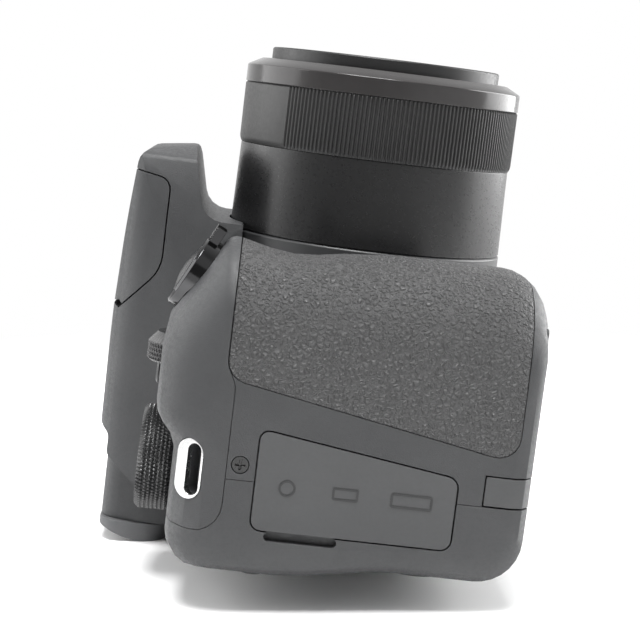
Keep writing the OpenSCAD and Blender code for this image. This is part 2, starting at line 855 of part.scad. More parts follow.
// Hump: its side view cut by its front view and its plan
hump_side_corners = [[throat_y, rubber_top + hump_root, square_edge, 1],
    [top_back - seam, rubber_top + hump_root, square_edge, 1], [top_back - seam, finder_foot, square_edge, 1],
    [hump_back, finder_foot, square_edge, 1], [hump_back, finder_chamfer_z, finder_chamfer_round, 2],
    [hump_back - finder_chamfer, finder_top - finder_drop, finder_chamfer_round, 2],
    [hump_step_foot, finder_top - finder_drop, finder_chamfer_round, 2],
    [hump_step_top, hump_top, hump_step_round, 2], [crown_back, hump_top, crown_side_round, 3],
    [crown_front, hump_top - crown_fall, crown_side_round, 6],
    [nose_rake - hump_nose, hump_top - nose_fall, nose_round, 4], [-hump_nose, nose_foot, nose_tip_round, 2],
    [throat_y, nose_foot - throat_rise, throat_round, 4]];
hump_face_corners = [[-hump_root_half, 0, square_edge, 1], [hump_root_half, 0, square_edge, 1],
    [hump_root_half, hump_root_z, hump_wide_round, 1], [hump_half, hump_wide_z, hump_wide_round, 3],
    [hump_top_half, hump_top, hump_top_round, 5], [-hump_top_half, hump_top, hump_top_round, 5],
    [-hump_half, hump_wide_z, hump_wide_round, 3], [-hump_root_half, hump_root_z, hump_wide_round, 1]];
hump_plan_corners = [[-nose_half, nose_bow - hump_nose, nose_edge_round, 2],
    [-nose_flat_half, -hump_nose, nose_plan_round, 5], [nose_flat_half, -hump_nose, nose_plan_round, 5],
    [nose_half, nose_bow - hump_nose, nose_edge_round, 2],
    [hump_half + past, nose_plan_back, nose_plan_round, 3], [hump_half + past, far, least_cut, 1],
    [-hump_half - past, far, least_cut, 1], [-hump_half - past, nose_plan_back, nose_plan_round, 3]];
module hump(by) intersection() {
    along_x(-far, far) outline(hump_side_corners, by);
    along_y(-far, far) outline(hump_face_corners, by);
    along_z(-far, far) outline(hump_plan_corners, by);
}
flash_corners = [[flash_front - flash_front_lean, flash_open_z, least_cut, 1],
    [flash_front + flash_front_foot, flash_floor, flash_front_round, 4],
    [flash_floor_back, flash_floor, flash_back_round, 4],
    [flash_floor_back + (flash_open_z - flash_floor) * tan(flash_rake), flash_open_z, least_cut, 1]];
module flash_region(by) along_x(-far, far) outline(flash_corners, by);

// Rubber, flaps and side details
rubber_corners = [[-far, rubber_foot + rubber_foot_rise, least_cut, 1],
    [rubber_back, rubber_foot, rubber_foot_round, 5],
    [rubber_back - rubber_lean, rubber_top, rubber_top_round, 4], [-far, rubber_top, least_cut, 1]];
module rubber_prism(by) along_x(-far, rubber_width - grip_side - by) outline(rubber_corners, by);
terminal_corners = [[terminal_front, terminal_foot, terminal_round, 4],
    [terminal_back, terminal_foot, terminal_round, 4], [terminal_back, terminal_top, terminal_round, 4],
    [terminal_front - terminal_lean, terminal_top, terminal_round, 4]];
module terminal_prism(depth, by)
    along_x(-grip_side - past, depth - grip_side) outline(terminal_corners, by);
module port_hole() block([-far, port_y0 - seam, port_z0 - seam],
    [port_depth - grip_side, port_y1 + seam, port_z1 + seam]);
module lead_box(by) block([-far, lead_front + by, -far],
    [lead_depth - grip_side - by, cover_split - seam - by, lead_top - by]);
module at_side_screw() translate([-grip_side, side_screw_y, side_screw_z]) rotate([0, -90, 0]) children();
module at_base_screws() for (p = base_screws) translate(p) rotate([180, 0, 0]) children();
door_corners = [[door_x0, door_y0, door_corner, 3], [door_x1, door_y0, door_corner_cut, 1],
    [door_x1, door_y1, door_corner, 3], [door_x0, door_y1, door_corner, 3]];
module screw_hole() {
    disc(-screw_depth, past, screw_head_r + seam);
    disc(-wall - past, 0, screw_shank_r + seam);
}
function lug_inset(r) = lug_share * r;
function lug_drop(r) = edge_inset(lug_inset(r), r);
module at_lugs() {
    translate([lug_inset(shoulder_round) - grip_side, lug_y, deck_height - lug_drop(shoulder_round)])
        rotate([0, -lug_lean, 0]) children();
    translate([far_side - lug_inset(far_round), lug_y, far_height - lug_drop(far_round)])
        rotate([0, lug_lean, 0]) rotate(180) children();
}
module capsule(length, width, from, to) along_z(from, to) union() {
    square([width, length - width], center = true);
    for (s = [-1, 1]) translate([0, s * (length - width) / 2]) circle(d = width);
}
module lug_way(up) at_lugs() {
    hull() for (x = [0, up]) translate([x, 0, 0])
        capsule(lug_length + 2 * seam, lug_width + 2 * seam, -lug_thick, lug_room);
    hull() for (x = [0, up]) translate([lug_slot_shift + x, 0, 0])
        capsule(lug_slot, lug_slot_w, -lug_room, past);
}
module lever_room() at_shutter() {
    disc(-lever_height - play, far, lever_r + play);
    intersection() {
        disc(-lever_tab_low - play, far, lever_reach + lever_sweep_gap);
        block([-far, -far, -far], [far, -lever_sweep_back, far]);
    }
}

module front_cover() color(plastic) difference() {
    skin(0);
    difference() {
        skin(wall);
        terminal_prism(wall + terminal_backing, -terminal_backing);
        rod_z(0, 0, -past, socket_flange_z, socket_outer_r + socket_boss_wall);
    }
    top_region(-seam);
    rear_half(-seam / 2);
    lens_hole(chassis_r + play);
    rod_y(0, lens_height, -far, wall_y, ring_r + seam);
    difference() {
        rubber_prism(-seam);
        grip_skin(rubber_thick + seam);
    }
    terminal_prism(flap_thick + seam, -play / 2);
    port_hole();
    difference() {
        lead_box(-play / 2);
        end_skin(flap_thick + seam);
    }
    along_z(-past, wall + past) outline(door_corners, -play);
    rod_z(0, 0, -past, socket_flange_z + past, socket_outer_r + seam);
    at_side_screw() screw_hole();
    at_base_screws() screw_hole();
    lever_room();
    lug_way(lug_length);
    rod_y(lamp_x, lamp_z, wall_y - past, wall_y + wall + past, lamp_r + seam);
    for (i = [-1:1], k = [-1:1]) rod_x(speaker_y + speaker_pitch * i, speaker_z + speaker_pitch * k,
        far_side - wall - past, far_side + past, speaker_hole_r);
}

module pry_slot() {
    middle = terminal_back + pry_w / 2;
    low = terminal_top - pry_foot + pry_w / 2;
    high = terminal_top - pry_top - pry_w / 2;
    for (z = [low, high]) rod_x(middle, z, -far, pry_depth - grip_side, pry_w / 2);
    block([-far, terminal_back, low], [pry_depth - grip_side, terminal_back + pry_w, high]);
}
module screen_ear(s) {
    middle = swing_z + s * (arm_half + play + ear_height / 2);
    rod_z(swing_x, swing_y, middle - ear_height / 2, middle + ear_height / 2, screen_thick / 2);
    block([swing_x - screen_thick / 2, pan_floor - ear_root, middle - ear_height / 2],
        [swing_x + screen_thick / 2, swing_y, middle + ear_height / 2]);
}
module rear_cover() color(plastic) difference() {
    union() {
        difference() {
            skin(0);
            difference() {
                skin(wall);
                terminal_prism(wall + terminal_backing, -terminal_backing);
                block([screen_x0 - play - wall, pan_floor - wall, screen_foot - play - wall],
                    [far, far, screen_top + play + wall]);
                for (x = post_x, z = post_z) rod_y(x, z, board_y + board_thick, far, post_r);
            }
            difference() {
                block([-far, -far, -far], [far, far, far]);
                rear_half(seam / 2);
            }
            top_region(-seam);
            block([screen_x0 - play, pan_floor, screen_foot - play], [far, far, screen_top + play]);
        }
        for (s = [-1, 1]) screen_ear(s);
    }
    rod_z(swing_x, swing_y, swing_z - arm_half - play - ear_height - past,
        swing_z + arm_half + play + ear_height + past, swing_pin_r + run);
    terminal_prism(flap_thick + seam, -play / 2);
    port_hole();
    pry_slot();
    on_rear(movie_x, movie_z) button_hole(rear_button_r);
    for (x = [outer_x, inner_x], z = [lower_row_z, upper_row_z]) on_rear(x, z) button_hole(rear_button_r);
    on_rear(pad_x, pad_height) button_hole(pad_r);
    lug_way(lug_length);
}

module dial_ear(s) {
    near = front_dial_w / 2 + play;
    middle = s * (near + dial_ear_thick / 2) - front_dial_y;
    block([dial_x - dial_ear_half, middle - dial_ear_thick / 2, dial_z - dial_ear_half],
        [dial_x + dial_ear_half, middle + dial_ear_thick / 2, far]);
}
module on_dial(reach, r) rod_y(dial_x, dial_z, -front_dial_y - reach, reach - front_dial_y, r);
module flash_well() {
    difference() {
        flash_region(-play / 2);
        at_flash() block([-far, 0, 0], [far, far, far]);
    }
    at_flash() rod_x(0, 0, -flash_channel_half, flash_channel_half, flash_barrel_r + flash_swing_gap);
}
module flash_lug_at(s) at_flash() {
    middle = s * (flash_knuckle + play / 2 + flash_lug / 2);
    rod_x(0, 0, middle - flash_lug / 2, middle + flash_lug / 2, flash_barrel_r);
    block([middle - flash_lug / 2, 0, -flash_barrel_r],
        [middle + flash_lug / 2, flash_lug_depth, flash_barrel_r]);
}
module finder_way() {
    low = finder_axis_z - finder_tube_h / 2 - seam;
    block([-finder_tube_half - seam, finder_tube_front - seam, low],
        [finder_tube_half + seam, far, low + finder_tube_h + 2 * seam]);
}
module top_cover() color(plastic) difference() {
    union() {
        difference() {
            union() {
                intersection() {
                    skin(0);
                    top_region(0);
                }
                hump(0);
            }
            difference() {
                union() {
                    skin(wall);
                    hump(wall);
                }
                at_shutter()
                    disc(-lever_height - shutter_well_floor, lever_reach, lever_r + shutter_well_wall);
                flash_region(-wall);
                for (s = [-1, 1]) dial_ear(s);
                rod_z(mode_x, mode_y, deck_height - wall - mode_boss, deck_height, mode_post_r + mode_boss);
                at_lugs() block(-lug_backing, lug_backing);
            }
            lens_hole(ring_r + play);
            flash_well();
            lever_room();
            rod_z(mode_x, mode_y, deck_height, far, mode_r + play);
            on_dial(front_dial_w / 2 + play, front_dial_r + play);
            at_power() button_hole(power_r);
            lug_way(0);
            at_side_screw() screw_hole();
            finder_way();
        }
        rod_z(mode_x, mode_y, deck_height - past, deck_height + mode_height - mode_post_top, mode_post_r);
        at_shutter()
            disc(-lever_height - past, shutter_stem_rise - lever_height, shutter_r - shutter_stem_inset);
        intersection() {
            hump(0);
            for (s = [-1, 1]) flash_lug_at(s);
        }
    }
    at_flash() rod_x(0, 0, -far, far, flash_pin_r + flash_pin_fit);
    on_dial(front_dial_w / 2 + play + dial_ear_thick + past, dial_pin_r + run);
}

module grip_rubber() color(rubber) difference() {
    intersection() {
        grip_skin(0);
        rubber_prism(0);
    }
    grip_skin(rubber_thick);
    lever_room();
}

module terminal_cover() color(rubber) intersection() {
    terminal_prism(flap_thick, play / 2);
    block([-grip_side, -far, -far], [far, far, far]);
}

module port_block() color(dark_plastic) difference() {
    middle = (port_y0 + port_y1) / 2;
    face = flap_thick + port_sunk - grip_side;
    floor = port_depth - port_floor - grip_side;
    block([face, port_y0, port_z0], [port_depth - grip_side, port_y1, port_z1]);
    rod_x(middle, port_z1 - jack_drop, -far, floor, jack_r);
    block([-far, middle - port_high_half, port_z0 + port_high],
        [floor, middle + port_high_half, port_z0 + port_high + port_high_h]);
    block([-far, middle - port_low_half, port_z0 + port_low],
        [floor, middle + port_low_half, port_z0 + port_low + port_low_h]);
}

module lead_flap() color(rubber) difference() {
    intersection() {
        end_skin(0);
        lead_box(play / 2);
    }
    end_skin(flap_thick);
}

module cross_screw() difference() {
    union() {
        disc(seat - screw_depth, -screw_sunk, screw_head_r);
        disc(-screw_depth - screw_shank, -screw_sunk, screw_shank_r);
    }
    for (turn = [0, 90]) rotate(turn) block([-screw_cross / 2, -screw_cross_w / 2, -screw_cross_depth],
        [screw_cross / 2, screw_cross_w / 2, past]);
}
module cover_screws() color(dark_plastic) {
    at_side_screw() cross_screw();
    at_base_screws() cross_screw();
}

module strap_lugs() color(metal) at_lugs() difference() {
    capsule(lug_length, lug_width, seat - lug_thick, lug_proud);
    translate([lug_slot_shift, 0, 0]) capsule(lug_slot, lug_slot_w, -far, far);
}

module tripod_socket() color(metal) difference() {
    union() {
        rod_z(0, 0, 0, socket_depth + socket_cap, socket_outer_r);
        rod_z(0, 0, socket_flange_z, socket_flange_z + socket_flange_thick, socket_outer_r + socket_flange);
    }
    rod_z(0, 0, -past, socket_depth, socket_r);
}

module battery_door() color(plastic) difference() {
    along_z(door_lift, door_lift + door_thick) outline(door_corners, 0);
    block([latch_x - play, latch_y - latch_l / 2 - play, -past],
        [latch_x + latch_w + latch_travel + play, latch_y + latch_l / 2 + play,
            door_lift + latch_thick + latch_gap]);
}
module door_latch() color(dark_plastic) difference() {
    block([latch_x, latch_y - latch_l / 2, door_lift],
        [latch_x + latch_w, latch_y + latch_l / 2, door_lift + latch_thick]);
    for (i = [1:latch_ribs])
        translate([latch_x + i * latch_w / (latch_ribs + 1), latch_y, 0])
            block([-latch_groove, past - latch_l / 2, -past],
                [latch_groove, latch_l / 2 - past, door_lift + latch_groove_depth]);
}

module battery_case() color("#3b3f45") difference() {
    union() {
        block([battery_x - case_wall, battery_y - case_wall, wall + seat],
            [card_x, battery_y1 + case_wall, battery_z + battery_h + case_top_gap + case_wall]);
        block([battery_x - case_wall, card_y - case_wall, wall + seat],
            [card_x1 + case_wall, battery_y1 + case_wall, battery_z + battery_h + case_top_gap + case_wall]);
        block([battery_x - case_wall, battery_y + case_foot_front, wall + seat],
            [door_x1 + play + case_foot_reach, battery_y1, wall + seat + case_foot_thick]);
    }
    block([battery_x - seam, battery_y - seam, -past],
        [battery_x1 + seam, battery_y1 + seam, battery_z + battery_h + case_top_gap]);
    block([card_x - seam, card_y - seam, -past],
        [card_x1 + seam, card_y + card_d + seam, battery_z + card_h + case_top_gap]);
}
module battery() color("#26282c")
    block([battery_x, battery_y, battery_z], [battery_x1, battery_y1, battery_z + battery_h]);
module memory_card() color("#1f2a44") along_x(card_x, card_x1) translate([card_y, battery_z]) polygon([[0, 0],
    [card_d, 0], [card_d, card_h], [card_corner, card_h], [0, card_h - card_corner]]);

module lens_base_ring() color(plastic) lens_turn([[barrel_in, barrel_back_y],
    [ring_r - base_ring_bevel, barrel_back_y], [ring_r, barrel_back_y + base_ring_bevel], [ring_r, wall_y],
    [barrel_in, wall_y]]);
module lens_barrel() color(plastic) difference() {
    lens_turn([[barrel_in, knurl_back_y], [barrel_r, knurl_back_y],
        [barrel_r + barrel_flare, barrel_back_y], [barrel_in, barrel_back_y]]);
    for (y = framing_y) rod_x(y, lens_height, 0, far, framing_r + play);
}
module framing_button(y)
    rod_x(y, lens_height, chassis_r + framing_stop, barrel_r + barrel_flare + framing_proud, framing_r);
module framing_button_rear() color(plastic) framing_button(framing_y[0]);
module framing_button_front() color(plastic) framing_button(framing_y[1]);

// Ridges run round the ring from one end of the smooth stretch to the other
function knurl_points() = [for (i = [0:knurl_count - 1])
    let (pitch = 360 / knurl_count, turn = 90 + i * pitch, from_top = min(i, knurl_count - i) * pitch,
        valley = from_top > knurl_gap_angle ? ring_r - knurl_depth : ring_r)
    each [[ring_r * cos(turn), ring_r * sin(turn)],
        [valley * cos(turn + pitch / 2), valley * sin(turn + pitch / 2)]]];
module lens_grip_ring() color(rubber) translate([0, 0, lens_height]) along_y(trim_back_y, knurl_back_y)
    difference() {
        polygon(knurl_points());
        circle(r = barrel_in, $fn = ring_fn);
    }
module lens_trim_ring() color(dark_plastic) lens_turn([[trim_in, trim_front_y],
    [ring_r - trim_face, trim_front_y], [ring_r - trim_lip, trim_front_y + trim_bevel - trim_lip_rise],
    [ring_r, trim_front_y + trim_bevel], [ring_r, trim_back_y], [barrel_in, trim_back_y],
    [barrel_in, trim_back_y - trim_key], [trim_in, trim_back_y - trim_key]]);
module lens_chassis() color("#3a3d42") difference() {
    union() {
        lens_tube(chassis_r, chassis_in, chassis_front_y, chassis_back_y);
        lens_tube(chassis_r + chassis_flange, chassis_in, flange_y, flange_y + chassis_flange);
        lens_tube(chassis_r, rear_group_r + seat, plate_y, chassis_back_y);
    }
    block([-far, plate_y - past, -far], [far, far, socket_depth + socket_cap + play]);
}
module cam_ring() color("#8c8f94")
    lens_tube(cam_r, cam_in, chassis_front_y + cam_end_gap, plate_y - cam_plate_gap);
module middle_tube() color(dark_plastic) lens_tube(middle_r, middle_in, middle_front_y, middle_back_y);
module front_tube() color(dark_plastic) lens_turn([[front_in, lens_front_y + tube_lead],
    [front_in + tube_lead, lens_front_y], [front_r - tube_bevel, lens_front_y],
    [front_r, lens_front_y + tube_bevel], [front_r, lens_front_y + front_length],
    [front_in, lens_front_y + front_length]]);
module front_bezel() color(dark_plastic) lens_turn([[front_in - seat, lens_front_y + bezel_sunk],
    [front_in - seat, lens_front_y + bezel_depth], [glass_r + glass_seat, lens_front_y + bezel_depth],
    [glass_r + glass_seat, glass_rim_y + glass_seat_rise], [glass_r, glass_rim_y],
    [glass_r, glass_rim_y - bezel_lip], [front_in - bezel_sunk, lens_front_y + bezel_sunk]]);
function glass_sag(r) = glass_curve - sqrt(glass_curve * glass_curve - r * r);
module front_glass() color(glass) {
    rim = glass_r - seat;
    edge = rim + glass_seat;
    back = lens_front_y + bezel_depth - cam_end_gap;
    lens_turn(concat([for (s = [0:0.125:1]) [rim * s, glass_rim_y + glass_sag(rim * s) - glass_sag(rim)]],
        [[rim, glass_rim_y + glass_seat_rise], [edge, glass_rim_y + glass_seat_rise + seat],
            [edge, back], [0, back]]));
}
module zoom_group() color(glass) {
    front = middle_back_y - group_thick;
    rim = group_lens_r + group_rim;
    lens_turn([[0, front], [group_lens_r, front + group_dish], [rim, front], [middle_in - seat, front],
        [middle_in - seat, middle_back_y], [rim, middle_back_y], [group_lens_r, middle_back_y - group_dish],
        [0, middle_back_y]]);
}
module rear_group() color(glass) {
    front = plate_y - rear_group_reach;
    back = chassis_back_y - rear_group_sunk;
    lens_turn([[0, front], [rear_lens_r, front + rear_group_dish], [rear_group_r, front + rear_group_dish],
        [rear_group_r, back], [rear_lens_r, back], [0, back - rear_group_sunk]]);
}

module image_sensor() color("#2c5a43") block([-sensor_half_w, chassis_back_y, lens_height - sensor_half_h],
    [sensor_half_w, chassis_back_y + sensor_thick, lens_height + sensor_half_h]);
module zoom_motor() color(metal) {
    end = chassis_back_y + motor_length;
    rod_y(motor_x, lens_height + motor_rise, chassis_back_y, end, motor_r);
    rod_y(motor_x, lens_height + motor_rise, end, end + motor_shaft, motor_shaft_r);
}
module main_board() color(board_green)
    block([board_x0, board_y, board_foot], [board_x1, board_y + board_thick, board_top]);
module speaker() color(dark_plastic)
    rod_x(speaker_y, speaker_z, far_side - wall - speaker_thick, far_side - wall - seat, speaker_r);
module focus_lamp() color("#7a3020") {
    inner = wall_y + wall;
    rod_y(lamp_x, lamp_z, wall_y - lamp_proud, inner + lamp_rim_thick, lamp_r);
    rod_y(lamp_x, lamp_z, inner + play, inner + lamp_rim_thick, lamp_r + lamp_rim);
}

// Flash lid: the part of the hump inside the flash region, hinged on a barrel at its rear top edge
module flash_head() color(plastic) difference() {
    union() {
        intersection() {
            hump(0);
            flash_region(play / 2);
            union() {
                at_flash() block([-far, -far, -far], [far, 0, far]);
                at_flash() block([-far, -far, -far], [far, far, -flash_barrel_r * sin(flash_rake)]);
            }
        }
        at_flash() rod_x(0, 0, play / 2 - flash_knuckle, flash_knuckle - play / 2, flash_barrel_r);
    }
    for (s = [-1, 1]) at_flash() translate([s * (flash_knuckle + (flash_lug + play) / 2), 0, 0])
        rod_x(0, 0, -(flash_lug + play) / 2, (flash_lug + play) / 2, flash_barrel_r + play);
    at_flash() rod_x(0, 0, -far, far, flash_pin_r + run);
    block([-flash_window_w / 2, -far, flash_window_foot],
        [flash_window_w / 2, flash_front + flash_pocket_depth, flash_window_foot + flash_window_h]);
}
module flash_window() color("#c9ccd2") {
    face = flash_front + flash_window_sunk;
    block([seam - flash_window_w / 2, face, flash_window_foot + seam],
        [flash_window_w / 2 - seam, face + flash_window_thick, flash_window_foot + flash_window_h - seam]);
}
module flash_tube() color("#d9dce0")
    rod_x(flash_front + flash_tube_depth, flash_window_foot + flash_window_h / 2,
        seam - flash_window_w / 2, flash_window_w / 2 - seam, flash_tube_r);
module flash_pin() color(metal) at_flash()
    rod_x(0, 0, -flash_knuckle - flash_lug, flash_knuckle + flash_lug, flash_pin_r);

finder_side_corners = [[hump_back + finder_gap, finder_foot, square_edge, 1],
    [finder_back, finder_foot + finder_foot_rise, finder_edge, 1], [finder_back, finder_top, finder_edge, 1],
    [hump_back - finder_chamfer + finder_gap, finder_top, finder_edge, 1],
    [hump_back + finder_gap, finder_chamfer_z + finder_gap, finder_edge, 1]];
finder_face_corners = [[-finder_half, 0, square_edge, 1], [finder_half, 0, square_edge, 1],
    [finder_half, finder_waist_z, finder_waist_round, 2],
    [finder_half - finder_lean, finder_top, finder_top_round, 4],
    [finder_lean - finder_half, finder_top, finder_top_round, 4],
    [-finder_half, finder_waist_z, finder_waist_round, 2]];
module at_dioptre() translate([finder_half - dioptre_thick / 2, finder_back - dioptre_r - dioptre_margin,
    finder_axis_z - dioptre_drop]) rotate([0, 90, 0]) children();
module finder_outline(w, h) outline(frame_corners(-w / 2, w / 2, finder_axis_z - h / 2, finder_axis_z + h / 2,
    finder_hole_round, 3), 0);
module finder_housing() color(plastic) difference() {
    intersection() {
        along_x(-far, far) outline(finder_side_corners, 0);
        along_y(-far, far) outline(finder_face_corners, 0);
    }
    finder_way();
    at_dioptre() disc(0, far, dioptre_r + play);
}
module dioptre_dial() color(dark_plastic) at_dioptre() disc(seat, dioptre_thick, dioptre_r);
eyecup_corners = frame_corners(-finder_half - eyecup_over, finder_half + eyecup_over,
    finder_foot + eyecup_foot, finder_top + eyecup_top, eyecup_round, 5);
eyecup_side_corners = [[finder_back + seam, 0, least_cut, 1], [eyecup_back - eyecup_lean, 0, least_cut, 1],
    [eyecup_back, finder_axis_z, eyecup_crown, 2],
    [eyecup_back - eyecup_crown, finder_top + past, eyecup_crown / 2, 3],
    [finder_back + seam, finder_top + past, square_edge, 1]];
module eyecup() color(rubber) difference() {
    intersection() {
        along_y(finder_back + seam, far) outline(eyecup_corners, 0);
        along_x(-far, far) outline(eyecup_side_corners, 0);
    }
    along_y(0, far) finder_outline(eyepiece_w + eyecup_hole_w, eyepiece_h + eyecup_hole_h);
    along_y(eyecup_back - eyecup_well, far)
        finder_outline(eyepiece_w + eyecup_well_w, eyepiece_h + eyecup_well_h);
}
module finder_tube() color(dark_plastic) difference() {
    block([-finder_tube_half, finder_tube_front, finder_axis_z - finder_tube_h / 2],
        [finder_tube_half, finder_back, finder_axis_z + finder_tube_h / 2]);
    along_y(0, far) finder_outline(eyepiece_w, eyepiece_h);
}
module eyepiece() color(glass)
    along_y(finder_back - eyepiece_sunk - eyepiece_thick, finder_back - eyepiece_sunk)
    finder_outline(eyepiece_w - 2 * eyepiece_gap, eyepiece_h - 2 * eyepiece_gap);
module finder_display() color("#22304a")
    along_y(finder_tube_front + display_sunk, finder_tube_front + display_sunk + display_thick)
    finder_outline(eyepiece_w - 2 * eyepiece_gap, eyepiece_h - 2 * eyepiece_gap);

module shutter_button() color("#3c3c40") at_shutter() {
    disc(-shutter_skirt, shutter_edge, shutter_r);
    intersection() {
        translate([0, 0, shutter_crown - shutter_dome]) sphere(r = shutter_dome);
        disc(shutter_edge, shutter_dome, shutter_r);
    }
}
module zoom_lever() color(metal) at_shutter() difference() {
    union() {
        disc(-lever_height, -lever_bevel, lever_r);
        cone(-lever_bevel, 0, lever_r, lever_r - lever_bevel);
        block([-lever_tab_w / 2, -lever_reach, -lever_tab_low], [lever_tab_w / 2, 0, -lever_tab_sunk]);
    }
    disc(-lever_height - past, past, shutter_r + play);
    for (i = [1:lever_ribs])
        translate([0, i * lever_rib_pitch - lever_rib_gap - lever_reach, -lever_tab_sunk])
            block([-far, 0, -lever_rib_depth], [far, lever_rib_gap, past]);
}
module front_dial() color(dark_plastic) translate([dial_x, -front_dial_y, dial_z]) rotate([-90, 0, 0]) {
    half = front_dial_w / 2;
    rotate_extrude($fn = ring_fn) polygon([[0, -half], [front_dial_r - dial_cone, -half],
        [front_dial_r, dial_cone_l - half], [front_dial_r, half - dial_rim], [front_dial_r - dial_rim, half],
        [0, half]]);
    disc(-half - dial_pin, half + dial_pin, dial_pin_r);
}
module mode_dial() color(dark_plastic) translate([mode_x, mode_y, deck_height + mode_lift]) difference() {
    rotate_extrude($fn = ring_fn) polygon([[0, 0], [mode_r - mode_foot_bevel, 0], [mode_r, mode_foot_bevel],
        [mode_r, mode_height - mode_bevel], [mode_r - mode_bevel, mode_height], [0, mode_height]]);
    disc(-past, mode_height - mode_bore_top, mode_post_r + run);
}
module power_button() color("#3c3c40") at_power() button_cap(power_r, button_proud);
module movie_button() color(plastic) on_rear(movie_x, movie_z) button_cap(rear_button_r, button_proud);
module playback_button() color(plastic) on_rear(outer_x, upper_row_z) button_cap(rear_button_r, button_proud);
module focus_button() color(plastic) on_rear(inner_x, upper_row_z) button_cap(rear_button_r, button_proud);
module menu_button() color(plastic)
    on_rear(inner_x, lower_row_z) button_cap(rear_button_r, button_proud - low_row_sunk);
module display_button() color(plastic)
    on_rear(outer_x, lower_row_z) button_cap(rear_button_r, button_proud - low_row_sunk);
module four_way_pad() color(plastic) on_rear(pad_x, pad_height) difference() {
    button_cap(pad_r, button_proud);
    disc(-far, far, set_r + play);
}
module set_button() color(plastic) on_rear(pad_x, pad_height) {
    crown = button_proud - set_sunk;
    disc(collar_z, crown - cap_bevel, set_r);
    cone(crown - cap_bevel, crown, set_r, set_r - cap_bevel_in);
}

module screen_arm() color(plastic) {
    reach = arm_half + play + ear_height - ear_end;
    rod_z(swing_x, swing_y, swing_z - arm_half, swing_z + arm_half, screen_thick / 2 - arm_relief);
    rod_z(swing_x, swing_y, swing_z - reach, swing_z + reach, swing_pin_r);
    block([screen_x1 + play, swing_y - arm_half_thick, swing_z - arm_neck],
        [swing_x, swing_y + arm_half_thick, swing_z + arm_neck]);
    rod_x(swing_y, swing_z, screen_x1 - tilt_pin_length, screen_x1 + past, swing_pin_r);
}
screen_corners = frame_corners(screen_x0, screen_x1, screen_foot, screen_top, screen_corner, 4);
module screen_frame() color(rubber) difference() {
    along_y(screen_y0 + screen_back_thick, screen_y1) outline(screen_corners, 0);
    along_y(screen_y1 - screen_glass_sunk, far) outline(screen_corners, screen_border);
    rod_x(swing_y, swing_z, screen_x1 - tilt_pin_length - play, screen_x1 + past, swing_pin_r + run);
}
module screen_back() color(plastic)
    along_y(screen_y0, screen_y0 + screen_back_thick) outline(screen_corners, screen_back_inset);
module screen() color("#10141c") translate([0, screen_y1 - screen_glass_sunk, 0])
    along_y(0, screen_glass_thick) outline(screen_corners, screen_border + seam);

front_cover();
rear_cover();
top_cover();
grip_rubber();
terminal_cover();
port_block();
lead_flap();
cover_screws();
strap_lugs();
tripod_socket();
battery_door();
door_latch();
battery_case();
battery();
memory_card();
lens_base_ring();
lens_barrel();
lens_grip_ring();
lens_trim_ring();
lens_chassis();
cam_ring();
middle_tube();
front_tube();
front_bezel();
front_glass();
zoom_group();
rear_group();
image_sensor();
zoom_motor();
main_board();
speaker();
focus_lamp();
flash_head();
flash_window();
flash_tube();
flash_pin();
finder_housing();
eyecup();
finder_tube();
eyepiece();
finder_display();
dioptre_dial();
shutter_button();
zoom_lever();
front_dial();
mode_dial();
power_button();
movie_button();
playback_button();
focus_button();
menu_button();
display_button();
four_way_pad();
set_button();
framing_button_front();
framing_button_rear();
screen_arm();
screen_frame();
screen_back();
screen();
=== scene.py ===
"""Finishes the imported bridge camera: fine shapes, surfaces, table and light."""
import json
import math

import bmesh
import bpy
from mathutils import Matrix, Vector


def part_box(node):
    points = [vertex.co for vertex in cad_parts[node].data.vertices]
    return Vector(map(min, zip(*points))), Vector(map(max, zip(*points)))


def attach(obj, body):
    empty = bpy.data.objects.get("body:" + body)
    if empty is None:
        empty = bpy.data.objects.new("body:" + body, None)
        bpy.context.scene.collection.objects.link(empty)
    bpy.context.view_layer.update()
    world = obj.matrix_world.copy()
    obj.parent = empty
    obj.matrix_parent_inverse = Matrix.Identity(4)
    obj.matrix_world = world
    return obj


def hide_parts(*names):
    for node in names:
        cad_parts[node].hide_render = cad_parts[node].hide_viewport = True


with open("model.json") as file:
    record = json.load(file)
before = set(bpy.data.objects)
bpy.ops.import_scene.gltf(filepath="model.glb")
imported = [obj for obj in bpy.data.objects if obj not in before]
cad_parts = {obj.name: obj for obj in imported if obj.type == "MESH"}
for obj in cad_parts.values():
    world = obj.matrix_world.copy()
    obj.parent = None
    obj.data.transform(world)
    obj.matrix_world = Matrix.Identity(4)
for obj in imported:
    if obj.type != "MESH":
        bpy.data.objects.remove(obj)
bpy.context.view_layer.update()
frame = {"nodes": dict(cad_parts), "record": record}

bl_info = {
    "name": "Bridge camera finishes",
    "version": (1, 0, 0),
    "blender": (4, 5, 0),
    "location": "3D View > Sidebar > Bridge camera",
    "description": "Gives a packed bridge camera its fine shapes, surfaces, table and light",
    "category": "Object",
}

MM = 0.001
MERGE = 0.002 * MM  # points this close are one
SHORTEST = 0.06 * MM  # shortest edge that is kept
LEAST = 0.05 * MM * MM  # smallest area that matters
FLAT = math.radians(0.2)  # faces within this angle lie in one plane
BODY_OF = {node: body for body, nodes in frame["record"]["behaviour"]["bodies"].items() for node in nodes}


def length(name, description, millimetres):
    """A length property whose default is given in millimetres."""
    return bpy.props.FloatProperty(name=name, description=description, default=millimetres * MM,
                                   min=0.0, precision=5, unit="LENGTH")


def tint(name, description, *colour):
    """A colour property."""
    return bpy.props.FloatVectorProperty(name=name, description=description, default=colour, size=3,
                                         min=0.0, max=1.0, subtype="COLOR")


def share(name, description, value):
    """A property from 0 to 1."""
    return bpy.props.FloatProperty(name=name, description=description, default=value, min=0.0, max=1.0,
                                   subtype="FACTOR")


